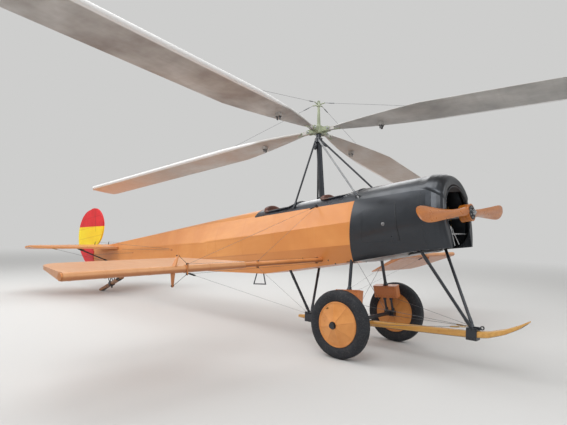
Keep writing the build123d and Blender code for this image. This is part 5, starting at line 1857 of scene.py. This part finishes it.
tail_controls()
tail_bracing()
tail_skid_trim()
fuselage_trim()
mast_fittings()


# Studio
lamps = (
    # name, place, aim, size, power
    ("key_lamp", (3.0, -7.0, 7.5), (-0.6, 0, 1.4), 6.0, 350),
    ("fill_lamp", (6.5, 2.5, 5.0), (-0.8, 0, 1.2), 5.0, 130),
    ("top_lamp", (-2.5, -1.0, 8.5), (-1.8, 0, 1.2), 7.0, 330),
    ("back_lamp", (-7.0, 6.0, 6.0), (-2.5, 0, 1.4), 6.0, 130),
    ("rear_lamp", (-8.2, -4.2, 6.4), (-3.6, -0.4, 1.3), 7.5, 330),
    ("far_lamp", (-8.0, 13.0, 9.0), (-6.0, 9.0, 0.0), 12.0, 380),
)
surround = tone(206, 206, 205)


def studio_floor():
    """Pale paper floor that fades into the surround."""
    mesh = bpy.data.meshes.new("studio_floor")
    corners = [(40.0 * x, 40.0 * y, 0) for x, y in ((-1, -1), (1, -1), (1, 1), (-1, 1))]
    mesh.from_pydata(corners, [], [(0, 1, 2, 3)])
    floor = bpy.data.objects.new("studio_floor", mesh)
    bpy.context.scene.collection.objects.link(floor)
    paper = bpy.data.materials.new("studio_paper")
    paper.use_nodes = True
    tree = paper.node_tree
    skin = tree.nodes["Principled BSDF"]
    for key, value in (("Base Color", surround), ("Roughness", 0.9), ("Specular IOR Level", 0.1)):
        skin.inputs[key].default_value = value
    place = add(tree, "ShaderNodeTexCoord").outputs["Object"]
    away = add(tree, "ShaderNodeVectorMath", ((0, place),), operation="LENGTH").outputs["Value"]
    fade = add(
        tree, "ShaderNodeMapRange", (("From Min", 8.0), ("From Max", 22.0), ("Value", away)),
        interpolation_type="SMOOTHSTEP",
    ).outputs["Result"]
    distant = add(tree, "ShaderNodeEmission", (("Color", surround),)).outputs["Emission"]
    blended = add(tree, "ShaderNodeMixShader", (("Fac", fade), (1, skin.outputs["BSDF"]), (2, distant)))
    feed(tree, tree.nodes["Material Output"].inputs["Surface"], blended.outputs["Shader"])
    mesh.materials.append(paper)


def studio_surround():
    """Soft light from all round, and a plain pale backdrop for the camera."""
    world = bpy.data.worlds.new("studio_surround")
    bpy.context.scene.world = world
    world.use_nodes = True
    tree = world.node_tree
    tree.nodes.clear()
    soft, seen = (
        add(tree, "ShaderNodeBackground", (("Color", colour), ("Strength", strength))).outputs["Background"]
        for colour, strength in (((1.0, 0.99, 0.975, 1), 0.48), (surround, 1.0))
    )
    to_camera = add(tree, "ShaderNodeLightPath").outputs["Is Camera Ray"]
    either = add(tree, "ShaderNodeMixShader", (("Fac", to_camera), (1, soft), (2, seen)))
    add(tree, "ShaderNodeOutputWorld", (("Surface", either.outputs["Shader"]),))


def studio_lamps():
    """Soft round lamps that the camera doesn't see."""
    for name, place, aim, size, power in lamps:
        lamp = bpy.data.lights.new(name, "AREA")
        lamp.shape, lamp.size, lamp.energy = "DISK", size, power
        holder = bpy.data.objects.new(name, lamp)
        bpy.context.scene.collection.objects.link(holder)
        holder.visible_camera = False
        holder.location = spot(*place)
        holder.rotation_euler = (spot(*aim) - spot(*place)).to_track_quat("-Z", "Y").to_euler()


def photograph_view():
    """The camera, where the photograph was taken from."""
    lens = bpy.data.cameras.new("photograph_view")
    lens.sensor_width, lens.lens, lens.clip_end = 36, 31.272, 200
    viewer = bpy.data.objects.new("photograph_view", lens)
    bpy.context.scene.collection.objects.link(viewer)
    viewer.matrix_world = basis(
        spot(3.1769, -5.1232, 1.4451), Vector((0.74318, 0.66852, 0.02769)),
        Vector((-0.00285, -0.03822, 0.99927)), Vector((0.66909, -0.74271, -0.02650)),
    )
    bpy.context.scene.camera = viewer
    bpy.context.scene.view_settings.view_transform = "Standard"


studio_floor()
studio_surround()
studio_lamps()
photograph_view()
